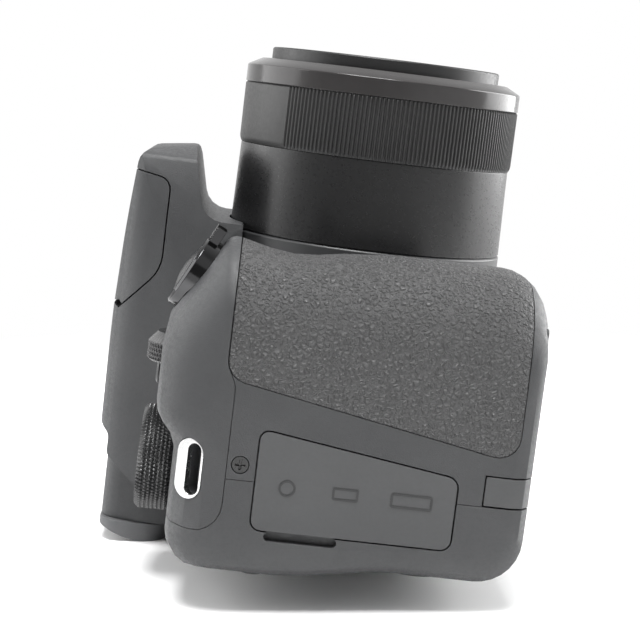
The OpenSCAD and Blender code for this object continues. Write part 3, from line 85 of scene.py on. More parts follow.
def count(name, description, value):
    """A whole number property."""
    return bpy.props.IntProperty(name=name, description=description, default=value, min=1,
                                 subtype="UNSIGNED")


def watts(name, description, value):
    """A lamp's power."""
    return bpy.props.FloatProperty(name=name, description=description, default=value, min=0.0, unit="POWER")


class CameraShapes(bpy.types.PropertyGroup):
    """Sizes of the fine shapes."""
    cover_edge: length("Cover edge", "Rounding along the edges of the covers", 0.12)
    seam_edge: length("Seam edge", "Rounding along the edges of the flaps and the rubber", 0.14)
    small_edge: length("Small edge", "Rounding along the edges of small fittings", 0.1)
    lens_edge: length("Lens edge", "Rounding along the edges of the lens rings", 0.2)
    lip_edge: length("Barrel lip", "Rounding at the foot of the lens barrel", 0.25)
    ridge_count: count("Ridges", "Ridges in a whole turn of the lens ring", 210)
    ridge_depth: length("Ridge depth", "Depth of the gaps between the ridges", 0.45)
    ridge_run: length("Ridge run-out", "Length over which the ring falls to the barrel", 1.3)
    ridge_fall: length("Ridge fall", "How far the ring falls to the barrel at its back", 0.4)
    ridge_tip: length("Ridge tip", "Bevel at the front ends of the ridges", 0.4)
    ridge_wall: length("Ring wall", "Thickness of the ridged ring", 1.55)
    plain_half: bpy.props.FloatProperty(name="Plain stretch", default=math.radians(46), subtype="ANGLE",
                                        description="Half the angle without ridges, over the top")
    knurl_count: count("Knurls", "Knurls round the mode dial", 84)
    wheel_count: count("Wheel knurls", "Knurls round the front dial", 58)
    knurl_depth: length("Knurl depth", "Depth of the knurl's grooves", 0.32)
    knurl_pitch: length("Knurl pitch", "Height of one knurl", 0.9)
    dial_bore: length("Dial bore", "Radius of the mode dial's bore", 3.05)
    dial_bevel: length("Dial bevel", "Bevel round the mode dial's top", 0.8)
    dial_top: length("Dial top", "Thickness of the mode dial over its bore", 1.8)
    pin_radius: length("Wheel pin", "Radius of the front dial's pins", 1.2)
    pin_length: length("Wheel pin length", "Length of each of the front dial's pins", 2.0)
    cone_drop: length("Wheel cone", "How far the front dial's front end tapers in", 1.8)
    cone_length: length("Wheel cone length", "Length of the front dial's plain cone", 2.0)
    mark_line: length("Mark line", "Width of the raised lines of the socket marks", 0.45)
    mark_rise: length("Mark rise", "Height of the raised socket marks", 0.12)
    figure_size: length("Figure size", "Height of the figures on the mode dial", 2.6)


class CameraFinishes(bpy.types.PropertyGroup):
    """Colours and roughness of the surfaces."""
    cover: tint("Cover", "Moulded covers", 0.049, 0.05, 0.052)
    cover_shade: tint("Cover shade", "Darker patches of the moulded covers", 0.04, 0.041, 0.043)
    rubber: tint("Rubber", "Raised grain of the grip rubber", 0.072, 0.072, 0.073)
    # Painted shade: the darker colour laid into the rubber's creases, where shade falls.
    rubber_painted_shade: tint("Rubber shade", "Creases of the grip rubber", 0.06, 0.06, 0.061)
    flap: tint("Flap", "Smooth side flaps", 0.065, 0.066, 0.068)
    barrel: tint("Barrel", "Satin lens barrel", 0.013, 0.013, 0.0135)
    ridge: tint("Ridges", "Ridged lens ring", 0.033, 0.033, 0.033)
    gloss: tint("Gloss", "Polished lens trim", 0.036, 0.034, 0.034)
    control: tint("Controls", "Dials and buttons", 0.028, 0.028, 0.029)
    bright: tint("Bright metal", "Bright plate of the strap lugs", 0.86, 0.86, 0.86)
    dark_metal: tint("Dark metal", "Dark plate of the zoom lever", 0.07, 0.07, 0.072)
    print_colour: tint("Figures", "Figures on the mode dial", 0.72, 0.72, 0.72)
    cover_rough: share("Cover roughness", "Roughness of the covers", 0.5)


class CameraStage(bpy.types.PropertyGroup):
    """The view, the table and the light."""
    place: bpy.props.FloatVectorProperty(name="Camera place", description="Where the viewing camera stands",
                                         default=(-0.4005, -0.0642, 0.0628), subtype="TRANSLATION",
                                         unit="LENGTH")
    turn: bpy.props.FloatVectorProperty(name="Camera turn", description="How the viewing camera is turned",
                                        default=[math.radians(a) for a in (66.2009, 82.8317, -105.7987)],
                                        subtype="EULER")
    lens: bpy.props.FloatProperty(name="Focal length", description="Focal length in millimetres",
                                  default=95.56, unit="CAMERA")
    table: share("Table", "How much light the table throws back", 0.8)
    table_reach: bpy.props.FloatProperty(name="Table reach", description="Half the table's width",
                                         default=3.0, unit="LENGTH")
    backdrop_start: length("Backdrop start", "Distance at which the table starts to turn white", 180.0)
    backdrop_end: length("Backdrop end", "Distance at which the table is all white", 330.0)
    room: share("Room light", "Strength of the light from the pale back of the room", 1.0)
    room_front: share("Room front", "Strength of the light from the open side of the room", 0.16)
    top: watts("Top lamp", "Power of the lamp above the lens", 14.0)
    front: watts("Front lamp", "Power of the large lamp above the open side", 0.8)
    left: watts("Left lamp", "Power of the lamp beside the camera's top", 5.0)
    right: watts("Right lamp", "Power of the lamp beside the camera's base", 17.0)


# Shapes

def corner(node, which):
    """The lowest (0) or highest (1) corner of a CAD node."""
    return Vector(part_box(node)[which])


def centre(node):
    """The middle of a CAD node's box."""
    return (corner(node, 0) + corner(node, 1)) / 2


def copy_of(node):
    """A merged copy of a CAD node's mesh, with its flat areas joined."""
    shape = bmesh.new()
    shape.from_mesh(frame["nodes"][node].data)
    bmesh.ops.remove_doubles(shape, verts=shape.verts[:], dist=MERGE)
    unfold(shape)
    bmesh.ops.dissolve_degenerate(shape, dist=SHORTEST, edges=shape.edges[:])
    bmesh.ops.dissolve_limit(shape, angle_limit=FLAT, verts=shape.verts[:], edges=shape.edges[:])
    return shape


def folded(edge):
    """Whether the faces beside an edge lie back to back."""
    return edge.calc_face_angle(0.0) > math.pi - FLAT


def unfold(shape):
    """Fills anew each flat area whose triangles fold back over each other."""
    folds = [edge for edge in shape.edges
             if folded(edge) and min(face.calc_area() for face in edge.link_faces) > LEAST]
    for fold in folds:
        if not fold.is_valid or not folded(fold):
            continue
        area, ahead = dict.fromkeys(fold.link_faces), list(fold.link_faces)
        while ahead:
            for edge in ahead.pop().edges:
                if edge.calc_face_angle(0.0) > FLAT and not folded(edge):
                    continue
                fresh = [face for face in edge.link_faces if face not in area]
                area.update(dict.fromkeys(fresh))
                ahead.extend(fresh)
        facing = sum((face.normal * face.calc_area() for face in area), Vector()).normalized()
        edges = dict.fromkeys(edge for face in area for edge in face.edges)
        rim = [edge for edge in edges if sum(face in area for face in edge.link_faces) == 1]
        inner = [edge for edge in edges if edge not in rim]
        bmesh.ops.delete(shape, geom=list(area), context="FACES_ONLY")
        loose = [edge for edge in inner if edge.is_valid and not edge.link_faces]
        bmesh.ops.delete(shape, geom=loose, context="EDGES")
        bmesh.ops.triangle_fill(shape, use_beauty=True, edges=rim, normal=facing)


def crease_edges(shape, crease):
    """Edges that turn by more than the crease angle."""
    return [edge for edge in shape.edges if len(edge.link_faces) == 2 and edge.calc_face_angle(0.0) > crease]


def soften(shape, lines, width, segments):
    """Rounds sharp edges, and returns corner normals that follow the faces beside them."""
    ends = [[pick(vert.co[axis] for vert in shape.verts) for axis in range(3)] for pick in (min, max)]
    flow = shape.loops.layers.float_vector.new("flow")
    sharp = bpy.data.meshes.new("sharp")
    shape.to_mesh(sharp)
    corners = [loop for face in shape.faces for loop in face.loops]
    for loop, normal in zip(corners, sharp.corner_normals):
        loop[flow] = normal.vector
    bpy.data.meshes.remove(sharp)
    bevelled = set(bmesh.ops.bevel(shape, geom=lines, offset=width, offset_type="OFFSET", segments=segments,
                                   profile=0.5, affect="EDGES", material=-1, clamp_overlap=False)["faces"])
    for vert in shape.verts:
        vert.co = [min(max(vert.co[axis], ends[0][axis]), ends[1][axis]) for axis in range(3)]
    for line in shape.edges:
        line.smooth = True
    kept = {}
    for face in shape.faces:
        if face not in bevelled:
            for loop in face.loops:
                kept.setdefault(loop.vert, []).append(loop[flow].normalized())
    normals = []
    for face in shape.faces:
        face.smooth = True
        for loop in face.loops:
            if face not in bevelled:
                normals.append(loop[flow].normalized())
            elif loop.vert in kept:
                normals.append(max(kept[loop.vert], key=face.normal.dot))
            else:
                normals.append(sum((other.normal for other in loop.vert.link_faces), Vector()).normalized())
    shape.loops.layers.float_vector.remove(flow)
    return normals


def turned_over(shape, normals):
    """The area of the faces that lean away from their corner normals."""
    corners = iter(normals)
    area = 0.0
    for face in shape.faces:
        mean = sum((next(corners) for _ in face.loops), Vector())
        if mean.dot(face.normal) < 0.5 * mean.length:
            area += face.calc_area()
    return area


def rounded(shape, width, segments):
    """Rounds sharp edges, by less where the full width would turn faces over.

    Gives the rounded shape and its corner normals.
    """
    trials = []
    for part in (1.0, 0.5, 0.25):
        trial = shape.copy()
        normals = soften(trial, [edge for edge in trial.edges if not edge.smooth], width * part, segments)
        trial.normal_update()
        trials.append((turned_over(trial, normals), trial, normals))
        if trials[-1][0] < LEAST:
            break
    shape.free()
    trials.sort(key=lambda tried: tried[0])
    for _, trial, _ in trials[1:]:
        trial.free()
    return trials[0][1:]


def settle(shape, name, body, finish, nodes=(), crease=34.0, edge=0.0, segments=2):
    """Makes a bmesh a finished piece that rides a body and stands for CAD nodes."""
    lines = crease_edges(shape, math.radians(crease))
    for face in shape.faces:
        face.smooth = True
    for line in lines:
        line.smooth = False
    normals = None
    if edge:
        shape, normals = rounded(shape, edge, segments)
    mesh = bpy.data.meshes.new(name)
    shape.to_mesh(mesh)
    shape.free()
    if normals:
        mesh.normals_split_custom_set(normals)
    piece = bpy.data.objects.new(name, mesh)
    bpy.context.scene.collection.objects.link(piece)
    piece.data.materials.append(finish)
    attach(piece, body)
    if nodes:
        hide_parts(*nodes)
    return piece


def dress(node, finish, edge=0.0, crease=34.0, segments=2):
    """Replaces a CAD node by a softened copy of itself."""
    return settle(copy_of(node), node + "_piece", BODY_OF[node], finish, [node], crease, edge,
                  segments)


def turned(profile, steps, closed=True):
    """Spins a profile of (radius, height) points round the Z axis."""
    shape = bmesh.new()
    points = [shape.verts.new((radius, 0.0, height)) for radius, height in profile]
    pairs = list(zip(points, points[1:]))
    if closed:
        pairs.append((points[-1], points[0]))
    lines = [shape.edges.new(pair) for pair in pairs]
    bmesh.ops.spin(shape, geom=points + lines, cent=(0, 0, 0), axis=(0, 0, 1), dvec=(0, 0, 0),
                   angle=math.tau, steps=steps, use_merge=True)
    bmesh.ops.remove_doubles(shape, verts=shape.verts[:], dist=MERGE)
    bmesh.ops.recalc_face_normals(shape, faces=shape.faces[:])
    return shape


def place(shape, matrix):
    """Moves a shape to its place."""
    bmesh.ops.transform(shape, matrix=matrix, verts=shape.verts[:])


def lens_place():
    """From a shape round the Z axis to the lens axis, with height along the way out of the lens."""
    middle = centre("lens_trim_ring")
    return Matrix.Translation((middle.x, 0, middle.z)) @ Matrix.Rotation(math.radians(90), 4, "X")


def saw(value):
    """A wave from 1 to 0 and back with a period of 1."""
    return abs(2.0 * (value - math.floor(value)) - 1.0)


KNURL_FLANK = 1.7  # steepness of the grooves' sides


def knurl(shape, radius, low, high, number, pitch, depth):
    """Presses crossed grooves into the part of a turned wall between two heights."""
    for vert in shape.verts:
        flat = Vector((vert.co.x, vert.co.y))
        if abs(flat.length - radius) > MERGE or not low - MERGE < vert.co.z < high + MERGE:
            continue
        around = math.atan2(flat.y, flat.x) / math.tau * number
        along = (vert.co.z - low) / pitch
        rise = min(1.0, KNURL_FLANK * min(saw(around + along / 2), saw(around - along / 2)))
        flat *= 1.0 - depth * (1.0 - rise) / radius
        vert.co.x, vert.co.y = flat


def stations(start, end, number):
    """Evenly spaced values from start to end."""
    return [start + (end - start) * index / number for index in range(number + 1)]


# Surfaces

MIX_COLOURS, MIX_RESULT = (0, 6, 7), 2  # a Mix node's sockets for colours


def feed(tree, socket, value):
    """Links an input to an output, or gives it a plain value."""
    if isinstance(value, bpy.types.NodeSocket):
        tree.links.new(value, socket)
    else:
        socket.default_value = value


def add(tree, kind, settings=None, **sockets):
    """Adds a shader node and sets or links its inputs."""
    made = tree.nodes.new(kind)
    for key, value in (settings or {}).items():
        setattr(made, key, value)
    for key, value in sockets.items():
        feed(tree, made.inputs[key.replace("_", " ")], value)
    return made


def blend(tree, share_of_second, first, second):
    """Mixes two colours."""
    made = add(tree, "ShaderNodeMix", {"data_type": "RGBA"})
    for index, value in zip(MIX_COLOURS, (share_of_second, first, second)):
        feed(tree, made.inputs[index], value)
    return made.outputs[MIX_RESULT]


def ranged(tree, value, low, high, to_low, to_high):
    """Maps a value from one range to another."""
    return add(tree, "ShaderNodeMapRange", Value=value, From_Min=low, From_Max=high, To_Min=to_low,
               To_Max=to_high).outputs[0]


def eased(tree, value, low, high, to_low, to_high):
    """Maps a value from one range to another, with a smooth start and end."""
    return add(tree, "ShaderNodeMapRange", {"interpolation_type": "SMOOTHSTEP"}, Value=value, From_Min=low,
               From_Max=high, To_Min=to_low, To_Max=to_high).outputs[0]


def relief(tree, strength, distance, height):
    """A normal that follows a height."""
    return add(tree, "ShaderNodeBump", Strength=strength, Distance=distance, Height=height).outputs[0]


def combined(tree, operation, *values, kind="ShaderNodeMath"):
    """The outputs of a node that works out one value from others."""
    made = add(tree, kind, {"operation": operation})
    for socket, value in zip(made.inputs, values):
        feed(tree, socket, value)
    return made.outputs


def new_group(name, inputs, outputs):
    """A shader node group with named sockets, its input node and its output node."""
    tree = bpy.data.node_groups.new(name, "ShaderNodeTree")
    for label, kind, default in inputs:
        socket = tree.interface.new_socket(name=label, in_out="INPUT", socket_type="NodeSocket" + kind)
        socket.default_value = default
    for label, kind in outputs:
        tree.interface.new_socket(name=label, in_out="OUTPUT", socket_type="NodeSocket" + kind)
    return tree, tree.nodes.new("NodeGroupInput").outputs, tree.nodes.new("NodeGroupOutput").inputs


GREY = (0.5, 0.5, 0.5, 1.0)
GRAIN_HEIGHT = 0.15 * MM
SCRATCH_HEIGHT = 0.05 * MM
PEBBLE_HEIGHT = 0.6 * MM
PEBBLE_SWAY = 0.9 * MM  # how far the creases wander
PEBBLE_SPECKS = 0.18  # share of the fine grain in a pebble's height


def moulded_grain():
    """Fine spark-eroded grain, with slow changes of shade and gloss."""
    tree, given, result = new_group(
        "moulded_grain",
        [("Colour", "Color", GREY), ("Shade", "Color", GREY), ("Grain", "Float", 3000.0),
         ("Depth", "Float", 0.2), ("Smoothest", "Float", 0.4), ("Roughest", "Float", 0.6)],
        [("Colour", "Color"), ("Roughness", "Float"), ("Normal", "Vector")])
    where = add(tree, "ShaderNodeTexCoord").outputs["Object"]
    slow = add(tree, "ShaderNodeTexNoise", Vector=where, Scale=55.0, Detail=5.0, Roughness=0.6).outputs[0]
    fine = add(tree, "ShaderNodeTexNoise", Vector=where, Scale=given["Grain"], Detail=3.0,
               Roughness=0.65).outputs[0]
    speck = add(tree, "ShaderNodeTexNoise", Vector=where, Scale=1400.0, Detail=2.0).outputs[0]
    tree.links.new(blend(tree, ranged(tree, slow, 0.35, 0.65, 0.0, 1.0), given["Shade"], given["Colour"]),
                   result["Colour"])
    rough = ranged(tree, speck, 0.3, 0.7, given["Smoothest"], given["Roughest"])
    tree.links.new(rough, result["Roughness"])
    tree.links.new(relief(tree, given["Depth"], GRAIN_HEIGHT, fine), result["Normal"])
    return tree


def pebbled_grain():
    """Rubber with a leather-like grain: rounded pebbles parted by creases, with painted shade in the creases.
    """
    tree, given, result = new_group(
        "pebbled_grain",
        [("Colour", "Color", GREY), ("Crease", "Color", GREY), ("Pebbles", "Float", 900.0),
         ("Depth", "Float", 0.6)],
        [("Colour", "Color"), ("Roughness", "Float"), ("Normal", "Vector")])
    where = add(tree, "ShaderNodeTexCoord").outputs["Object"]
    sway = add(tree, "ShaderNodeTexNoise", Vector=where, Scale=1500.0, Detail=2.0).outputs["Color"]
    pushed = combined(tree, "MULTIPLY_ADD", sway, (PEBBLE_SWAY,) * 3, where, kind="ShaderNodeVectorMath")
    cells = add(tree, "ShaderNodeTexVoronoi", {"feature": "DISTANCE_TO_EDGE"}, Vector=pushed["Vector"],
                Scale=given["Pebbles"]).outputs[0]
    dome = eased(tree, cells, 0.0, 0.4, 0.0, 1.0)
    fine = add(tree, "ShaderNodeTexNoise", Vector=where, Scale=4200.0, Detail=2.0).outputs[0]
    height = combined(tree, "MULTIPLY_ADD", fine, PEBBLE_SPECKS, dome)["Value"]
    # Painted shade: the colour darkens from the pebbles' tops down into the creases.
    tree.links.new(blend(tree, dome, given["Crease"], given["Colour"]), result["Colour"])
    tree.links.new(ranged(tree, dome, 0.0, 1.0, 0.55, 0.34), result["Roughness"])
    tree.links.new(relief(tree, given["Depth"], PEBBLE_HEIGHT, height), result["Normal"])
    return tree


def drawn_metal():
    """Fine scratches that run one way, with slow changes of gloss."""
    tree, given, result = new_group(
        "drawn_metal",
        [("Stretch", "Vector", (1.0, 1.0, 1.0)), ("Depth", "Float", 0.1), ("Smoothest", "Float", 0.15),
         ("Roughest", "Float", 0.35)],
        [("Roughness", "Float"), ("Normal", "Vector")])
    where = add(tree, "ShaderNodeTexCoord").outputs["Object"]
    along = add(tree, "ShaderNodeMapping", Vector=where, Scale=given["Stretch"]).outputs[0]
    lines = add(tree, "ShaderNodeTexNoise", Vector=along, Scale=1.0, Detail=4.0).outputs[0]
    rough = ranged(tree, lines, 0.3, 0.7, given["Smoothest"], given["Roughest"])
    tree.links.new(rough, result["Roughness"])
    tree.links.new(relief(tree, given["Depth"], SCRATCH_HEIGHT, lines), result["Normal"])
    return tree


def solid(colour):
    """A colour with full alpha."""
    return (*colour, 1.0)


def new_finish(name, **values):
    """A material with a Principled shader whose plain values are set."""
    look = bpy.data.materials.new(name)
    look.use_nodes = True
    tree = look.node_tree
    tree.nodes.clear()
    shader = add(tree, "ShaderNodeBsdfPrincipled", None, **values)
    tree.links.new(shader.outputs[0], add(tree, "ShaderNodeOutputMaterial").inputs["Surface"])
    return look, tree, shader


def grouped(tree, shader, group, **values):
    """Places a group in a material and feeds the shader from its outputs."""
    made = tree.nodes.new("ShaderNodeGroup")
    made.node_tree = bpy.data.node_groups[group]
    for key, value in values.items():
        made.inputs[key].default_value = value
    for label, socket in (("Colour", "Base Color"), ("Roughness", "Roughness"), ("Normal", "Normal")):
        if label in made.outputs:
            tree.links.new(made.outputs[label], shader.inputs[socket])
    return made


def plastic(name, colour, shade, grain=3000.0, depth=0.2, smoothest=0.4, roughest=0.6, **values):
    """Moulded plastic."""
    look, tree, shader = new_finish(name, **values)
    grouped(tree, shader, "moulded_grain", Colour=solid(colour), Shade=solid(shade), Grain=grain, Depth=depth,
            Smoothest=smoothest, Roughest=roughest)
    return look


def metal(name, colour, stretch, smoothest, roughest, depth=0.1, **values):
    """Drawn or turned metal."""
    look, tree, shader = new_finish(name, Base_Color=solid(colour), Metallic=1.0, **values)
    grouped(tree, shader, "drawn_metal", Stretch=stretch, Depth=depth, Smoothest=smoothest, Roughest=roughest)
    return look


def glass(name, colour, smoothest, roughest, transmission, **values):
    """Glass or clear plastic with faint smears."""
    look, tree, shader = new_finish(name, Transmission_Weight=transmission, **values)
    grouped(tree, shader, "moulded_grain", Colour=solid(colour), Shade=solid(shaded(colour, 0.9)),
            Grain=600.0, Depth=0.004, Smoothest=smoothest, Roughest=roughest)
    return look


def shaded(colour, by=0.82):
    """A colour made darker, or lighter by a factor over 1."""
    return [part * by for part in colour]


def make_finishes(colours):
    """All the materials, by name."""
    moulded_grain()
    pebbled_grain()
    drawn_metal()
    rough = colours.cover_rough
    # The grip rubber's crease colour is painted shade.
    rubber, rubber_tree, rubber_shader = new_finish("pebbled_rubber", Specular_IOR_Level=0.5)
    grouped(rubber_tree, rubber_shader, "pebbled_grain", Colour=solid(colours.rubber),
            Crease=solid(colours.rubber_painted_shade), Pebbles=900.0, Depth=1.0)
    return {
        "cover": plastic("cover_plastic", colours.cover, colours.cover_shade, 4200.0, 0.45, rough - 0.08,
                         rough + 0.1),
        "rubber": rubber,
        "flap": plastic("flap_rubber", colours.flap, shaded(colours.flap, 0.93), 2600.0, 0.05, 0.48, 0.6),
        "marks": plastic("mark_rubber", shaded(colours.flap, 0.4), shaded(colours.flap, 0.32), 2600.0, 0.05,
                         0.4, 0.5),
        # Painted light: the eyecup's colours are the flap's made twice as light, standing in for light that
        # falls on its side.
        "eyecup": plastic("eyecup_rubber", shaded(colours.flap, 2.0), shaded(colours.flap, 1.75), 2200.0,
                          0.12, 0.6, 0.75),
        "barrel": plastic("barrel_satin", colours.barrel, shaded(colours.barrel), 2600.0, 0.06, 0.26, 0.34),
        "base_ring": plastic("base_ring_satin", shaded(colours.cover, 0.8), shaded(colours.cover, 0.7),
                             2600.0, 0.08, 0.34, 0.44),
        "ridge": plastic("ridge_plastic", colours.ridge, shaded(colours.ridge), 2600.0, 0.08, 0.4, 0.52),
        "gloss": plastic("trim_gloss", colours.gloss, shaded(colours.gloss), 900.0, 0.01, 0.14, 0.22,
                         Specular_IOR_Level=0.4, Coat_Weight=0.08, Coat_Roughness=0.06),
        "tube": plastic("tube_satin", colours.barrel, shaded(colours.barrel), 1800.0, 0.04, 0.34, 0.46),
        "control": plastic("control_plastic", colours.control, shaded(colours.control), 2600.0, 0.08, 0.36,
                           0.5),
        "knurl": plastic("knurl_plastic", colours.control, shaded(colours.control), 2600.0, 0.05, 0.2, 0.28,
                         Specular_IOR_Level=0.8),
        "button": plastic("button_plastic", shaded(colours.cover, 0.75), shaded(colours.cover, 0.65), 2600.0,
                          0.06, 0.34, 0.44),
        "inner": plastic("inner_plastic", (0.03, 0.03, 0.032), (0.024, 0.024, 0.025), 1800.0, 0.1, 0.5, 0.65),
        "label": plastic("label_wrap", (0.09, 0.095, 0.11), (0.075, 0.08, 0.09), 500.0, 0.03, 0.3, 0.42),
        "figures": plastic("figure_paint", colours.print_colour, shaded(colours.print_colour), 3000.0, 0.1,
                           0.45, 0.6),
        "bright": metal("bright_plate", colours.bright, (900.0, 900.0, 60.0), 0.18, 0.3),
        "lever": metal("lever_plate", colours.dark_metal, (700.0, 700.0, 700.0), 0.1, 0.15, 0.02),
        "dome": metal("dome_plate", shaded(colours.dark_metal, 0.8), (1500.0, 1500.0, 1500.0), 0.22, 0.36),
        "steel": metal("machined_steel", (0.55, 0.55, 0.56), (400.0, 400.0, 3000.0), 0.22, 0.4),
        "anodised": metal("anodised_metal", (0.05, 0.05, 0.052), (500.0, 4000.0, 500.0), 0.3, 0.45),
        "screw": metal("black_screw", (0.06, 0.06, 0.06), (2500.0, 2500.0, 2500.0), 0.25, 0.45),
        "lens": glass("lens_glass", (0.9, 0.93, 0.97), 0.01, 0.03, 1.0, IOR=1.6, Coat_Weight=0.6,
                      Coat_Roughness=0.02, Coat_IOR=1.7, Coat_Tint=(0.5, 0.75, 0.62, 1.0)),
        "screen": glass("screen_glass", (0.012, 0.013, 0.016), 0.04, 0.08, 0.0, IOR=1.5, Coat_Weight=0.6,
                        Coat_Roughness=0.02),
        "clear": glass("clear_plastic", (0.93, 0.95, 0.97), 0.04, 0.1, 1.0, IOR=1.49),
        "lamp": glass("lamp_plastic", (0.5, 0.1, 0.04), 0.08, 0.15, 0.4, IOR=1.49),
        "board": plastic("board_lacquer", (0.02, 0.11, 0.06), (0.015, 0.085, 0.045), 800.0, 0.05, 0.25, 0.4),
    }


LOOKS = {}  # filled by the operator for the covers


# Pieces

class FinishCovers(bpy.types.Operator):
    """Makes the materials, and gives the moulded covers soft edges and their grain"""
    bl_idname = "bridge_camera.covers"
    bl_label = "Covers"

    def execute(self, context):
        sizes = context.scene.camera_shapes
        LOOKS.update(make_finishes(context.scene.camera_finishes))
        for node in ("front_cover", "rear_cover", "top_cover", "finder_housing", "flash_head", "battery_door",
                     "screen_arm", "screen_back"):
            dress(node, LOOKS["cover"], sizes.cover_edge)
        return {"FINISHED"}


SOCKETS = (  # share of the cover's height; half height, half width and rounding in mm
    (0.84, 1.7, 1.7, 1.7),
    (0.55, 2.6, 1.3, 0.5),
    (0.22, 4.2, 1.5, 0.6),
)
SOCKET_SHIFT = 1.0 * MM  # towards the camera's back


class FinishRubber(bpy.types.Operator):
    """Makes the grained grip rubber, the side flaps with their socket marks, and the eyecup"""
    bl_idname = "bridge_camera.rubber"
    bl_label = "Rubber and flaps"

    def execute(self, context):
        sizes = context.scene.camera_shapes
        dress("grip_rubber", LOOKS["rubber"], sizes.seam_edge)
        self.lowered(dress("terminal_cover", LOOKS["flap"], sizes.seam_edge), sizes.mark_rise)
        dress("lead_flap", LOOKS["flap"], sizes.seam_edge)
        dress("eyecup", LOOKS["eyecup"], sizes.seam_edge)
        self.socket_marks(sizes)
        return {"FINISHED"}

    def lowered(self, piece, drop):
        """Sets the flat outer face of a flap back by a little."""
        face = min(vert.co.x for vert in piece.data.vertices)
        for vert in piece.data.vertices:
            vert.co.x = max(vert.co.x, face + drop)

    def socket_marks(self, sizes):
        """Raised outlines of a round jack, a small socket and a wide socket."""
        low, high = corner("terminal_cover", 0), corner("terminal_cover", 1)
        line, rise = sizes.mark_line, sizes.mark_rise
        across = (low.y + high.y) / 2 + SOCKET_SHIFT
        shape = bmesh.new()
        for share_up, half_tall, half_wide, round_by in SOCKETS:
            mark = bmesh.new()
            bmesh.ops.create_grid(mark, x_segments=1, y_segments=1, size=1.0)
            bmesh.ops.scale(mark, vec=(half_tall * MM, half_wide * MM, 1.0), verts=mark.verts[:])
            bmesh.ops.bevel(mark, geom=mark.verts[:], offset=round_by * MM * 0.999, offset_type="OFFSET",
                            segments=8, profile=0.5, affect="VERTICES", material=-1)
            ring = bmesh.ops.inset_region(mark, faces=mark.faces[:], thickness=line, use_boundary=True,
                                          use_even_offset=True)["faces"]
            bmesh.ops.delete(mark, geom=[face for face in mark.faces if face not in ring], context="FACES")
            lifted = bmesh.ops.extrude_face_region(mark, geom=mark.faces[:])["geom"]
            bmesh.ops.translate(mark, vec=(0, 0, rise),
                                verts=[part for part in lifted if isinstance(part, bmesh.types.BMVert)])
            bmesh.ops.recalc_face_normals(mark, faces=mark.faces[:])
            upward = Matrix(((0, 0, -1, 0), (0, 1, 0, 0), (1, 0, 0, 0), (0, 0, 0, 1)))
            spot = Vector((low.x + rise, across, low.z + share_up * (high.z - low.z)))
            place(mark, Matrix.Translation(spot) @ upward)
            mesh = bpy.data.meshes.new("mark")
            mark.to_mesh(mesh)
            mark.free()
            shape.from_mesh(mesh)
            bpy.data.meshes.remove(mesh)
        settle(shape, "socket_marks", BODY_OF["terminal_cover"], LOOKS["marks"])


class FinishLens(bpy.types.Operator):
    """Makes the lens rings, the ridged ring, the tubes and the glass"""
    bl_idname = "bridge_camera.lens"
    bl_label = "Lens"

    def execute(self, context):
        sizes = context.scene.camera_shapes
        dress("lens_base_ring", LOOKS["base_ring"], sizes.lens_edge, 30.0, 3)
        dress("lens_barrel", LOOKS["barrel"], sizes.lip_edge, 30.0, 3)
        dress("lens_trim_ring", LOOKS["gloss"], sizes.lens_edge, 15.0, 3)
        dress("front_tube", LOOKS["tube"], sizes.lens_edge, 30.0, 3)
        dress("middle_tube", LOOKS["tube"], sizes.small_edge, 30.0, 2)
        dress("front_bezel", LOOKS["tube"], sizes.small_edge, 30.0, 2)
        dress("front_glass", LOOKS["lens"])
        self.ridged_ring(sizes)
        return {"FINISHED"}

    def ridged_ring(self, sizes):
        """The fixed ring with ridges all round but for a plain stretch over the top."""
        low, high = corner("lens_grip_ring", 0), corner("lens_grip_ring", 1)
        outer = (high.x - low.x) / 2
        inner = outer - sizes.ridge_wall
        back, front = -high.y, -low.y
        run, fall = sizes.ridge_run, sizes.ridge_fall
        profile = [(inner, back), (outer - fall, back), (outer - 0.4 * fall, back + 0.4 * run),
                   (outer, back + run), (outer, front - sizes.ridge_tip), (outer - sizes.ridge_tip, front),
                   (inner, front)]
        per_ridge = 4
        shape = turned(profile, sizes.ridge_count * per_ridge)
        for vert in shape.verts:
            flat = Vector((vert.co.x, vert.co.y))
            if vert.co.z < back + MERGE or flat.length < inner + MERGE:
                continue
            around = math.atan2(flat.x, flat.y)
            step = round(around / math.tau * sizes.ridge_count * per_ridge) % per_ridge
            if abs(around) > sizes.plain_half and step > 1:
                deep = outer - sizes.ridge_depth
                flat *= min(deep, flat.length) / flat.length
                vert.co.x, vert.co.y = flat
        place(shape, lens_place())
        node = "lens_grip_ring"
        settle(shape, "ridged_lens_ring", BODY_OF[node], LOOKS["ridge"], [node], 25.0)


KNURL_STEPS = 6  # steps round one knurl
DIAL_ROWS, WHEEL_ROWS = 40, 24  # rows up a knurled wall
FIGURES = 8


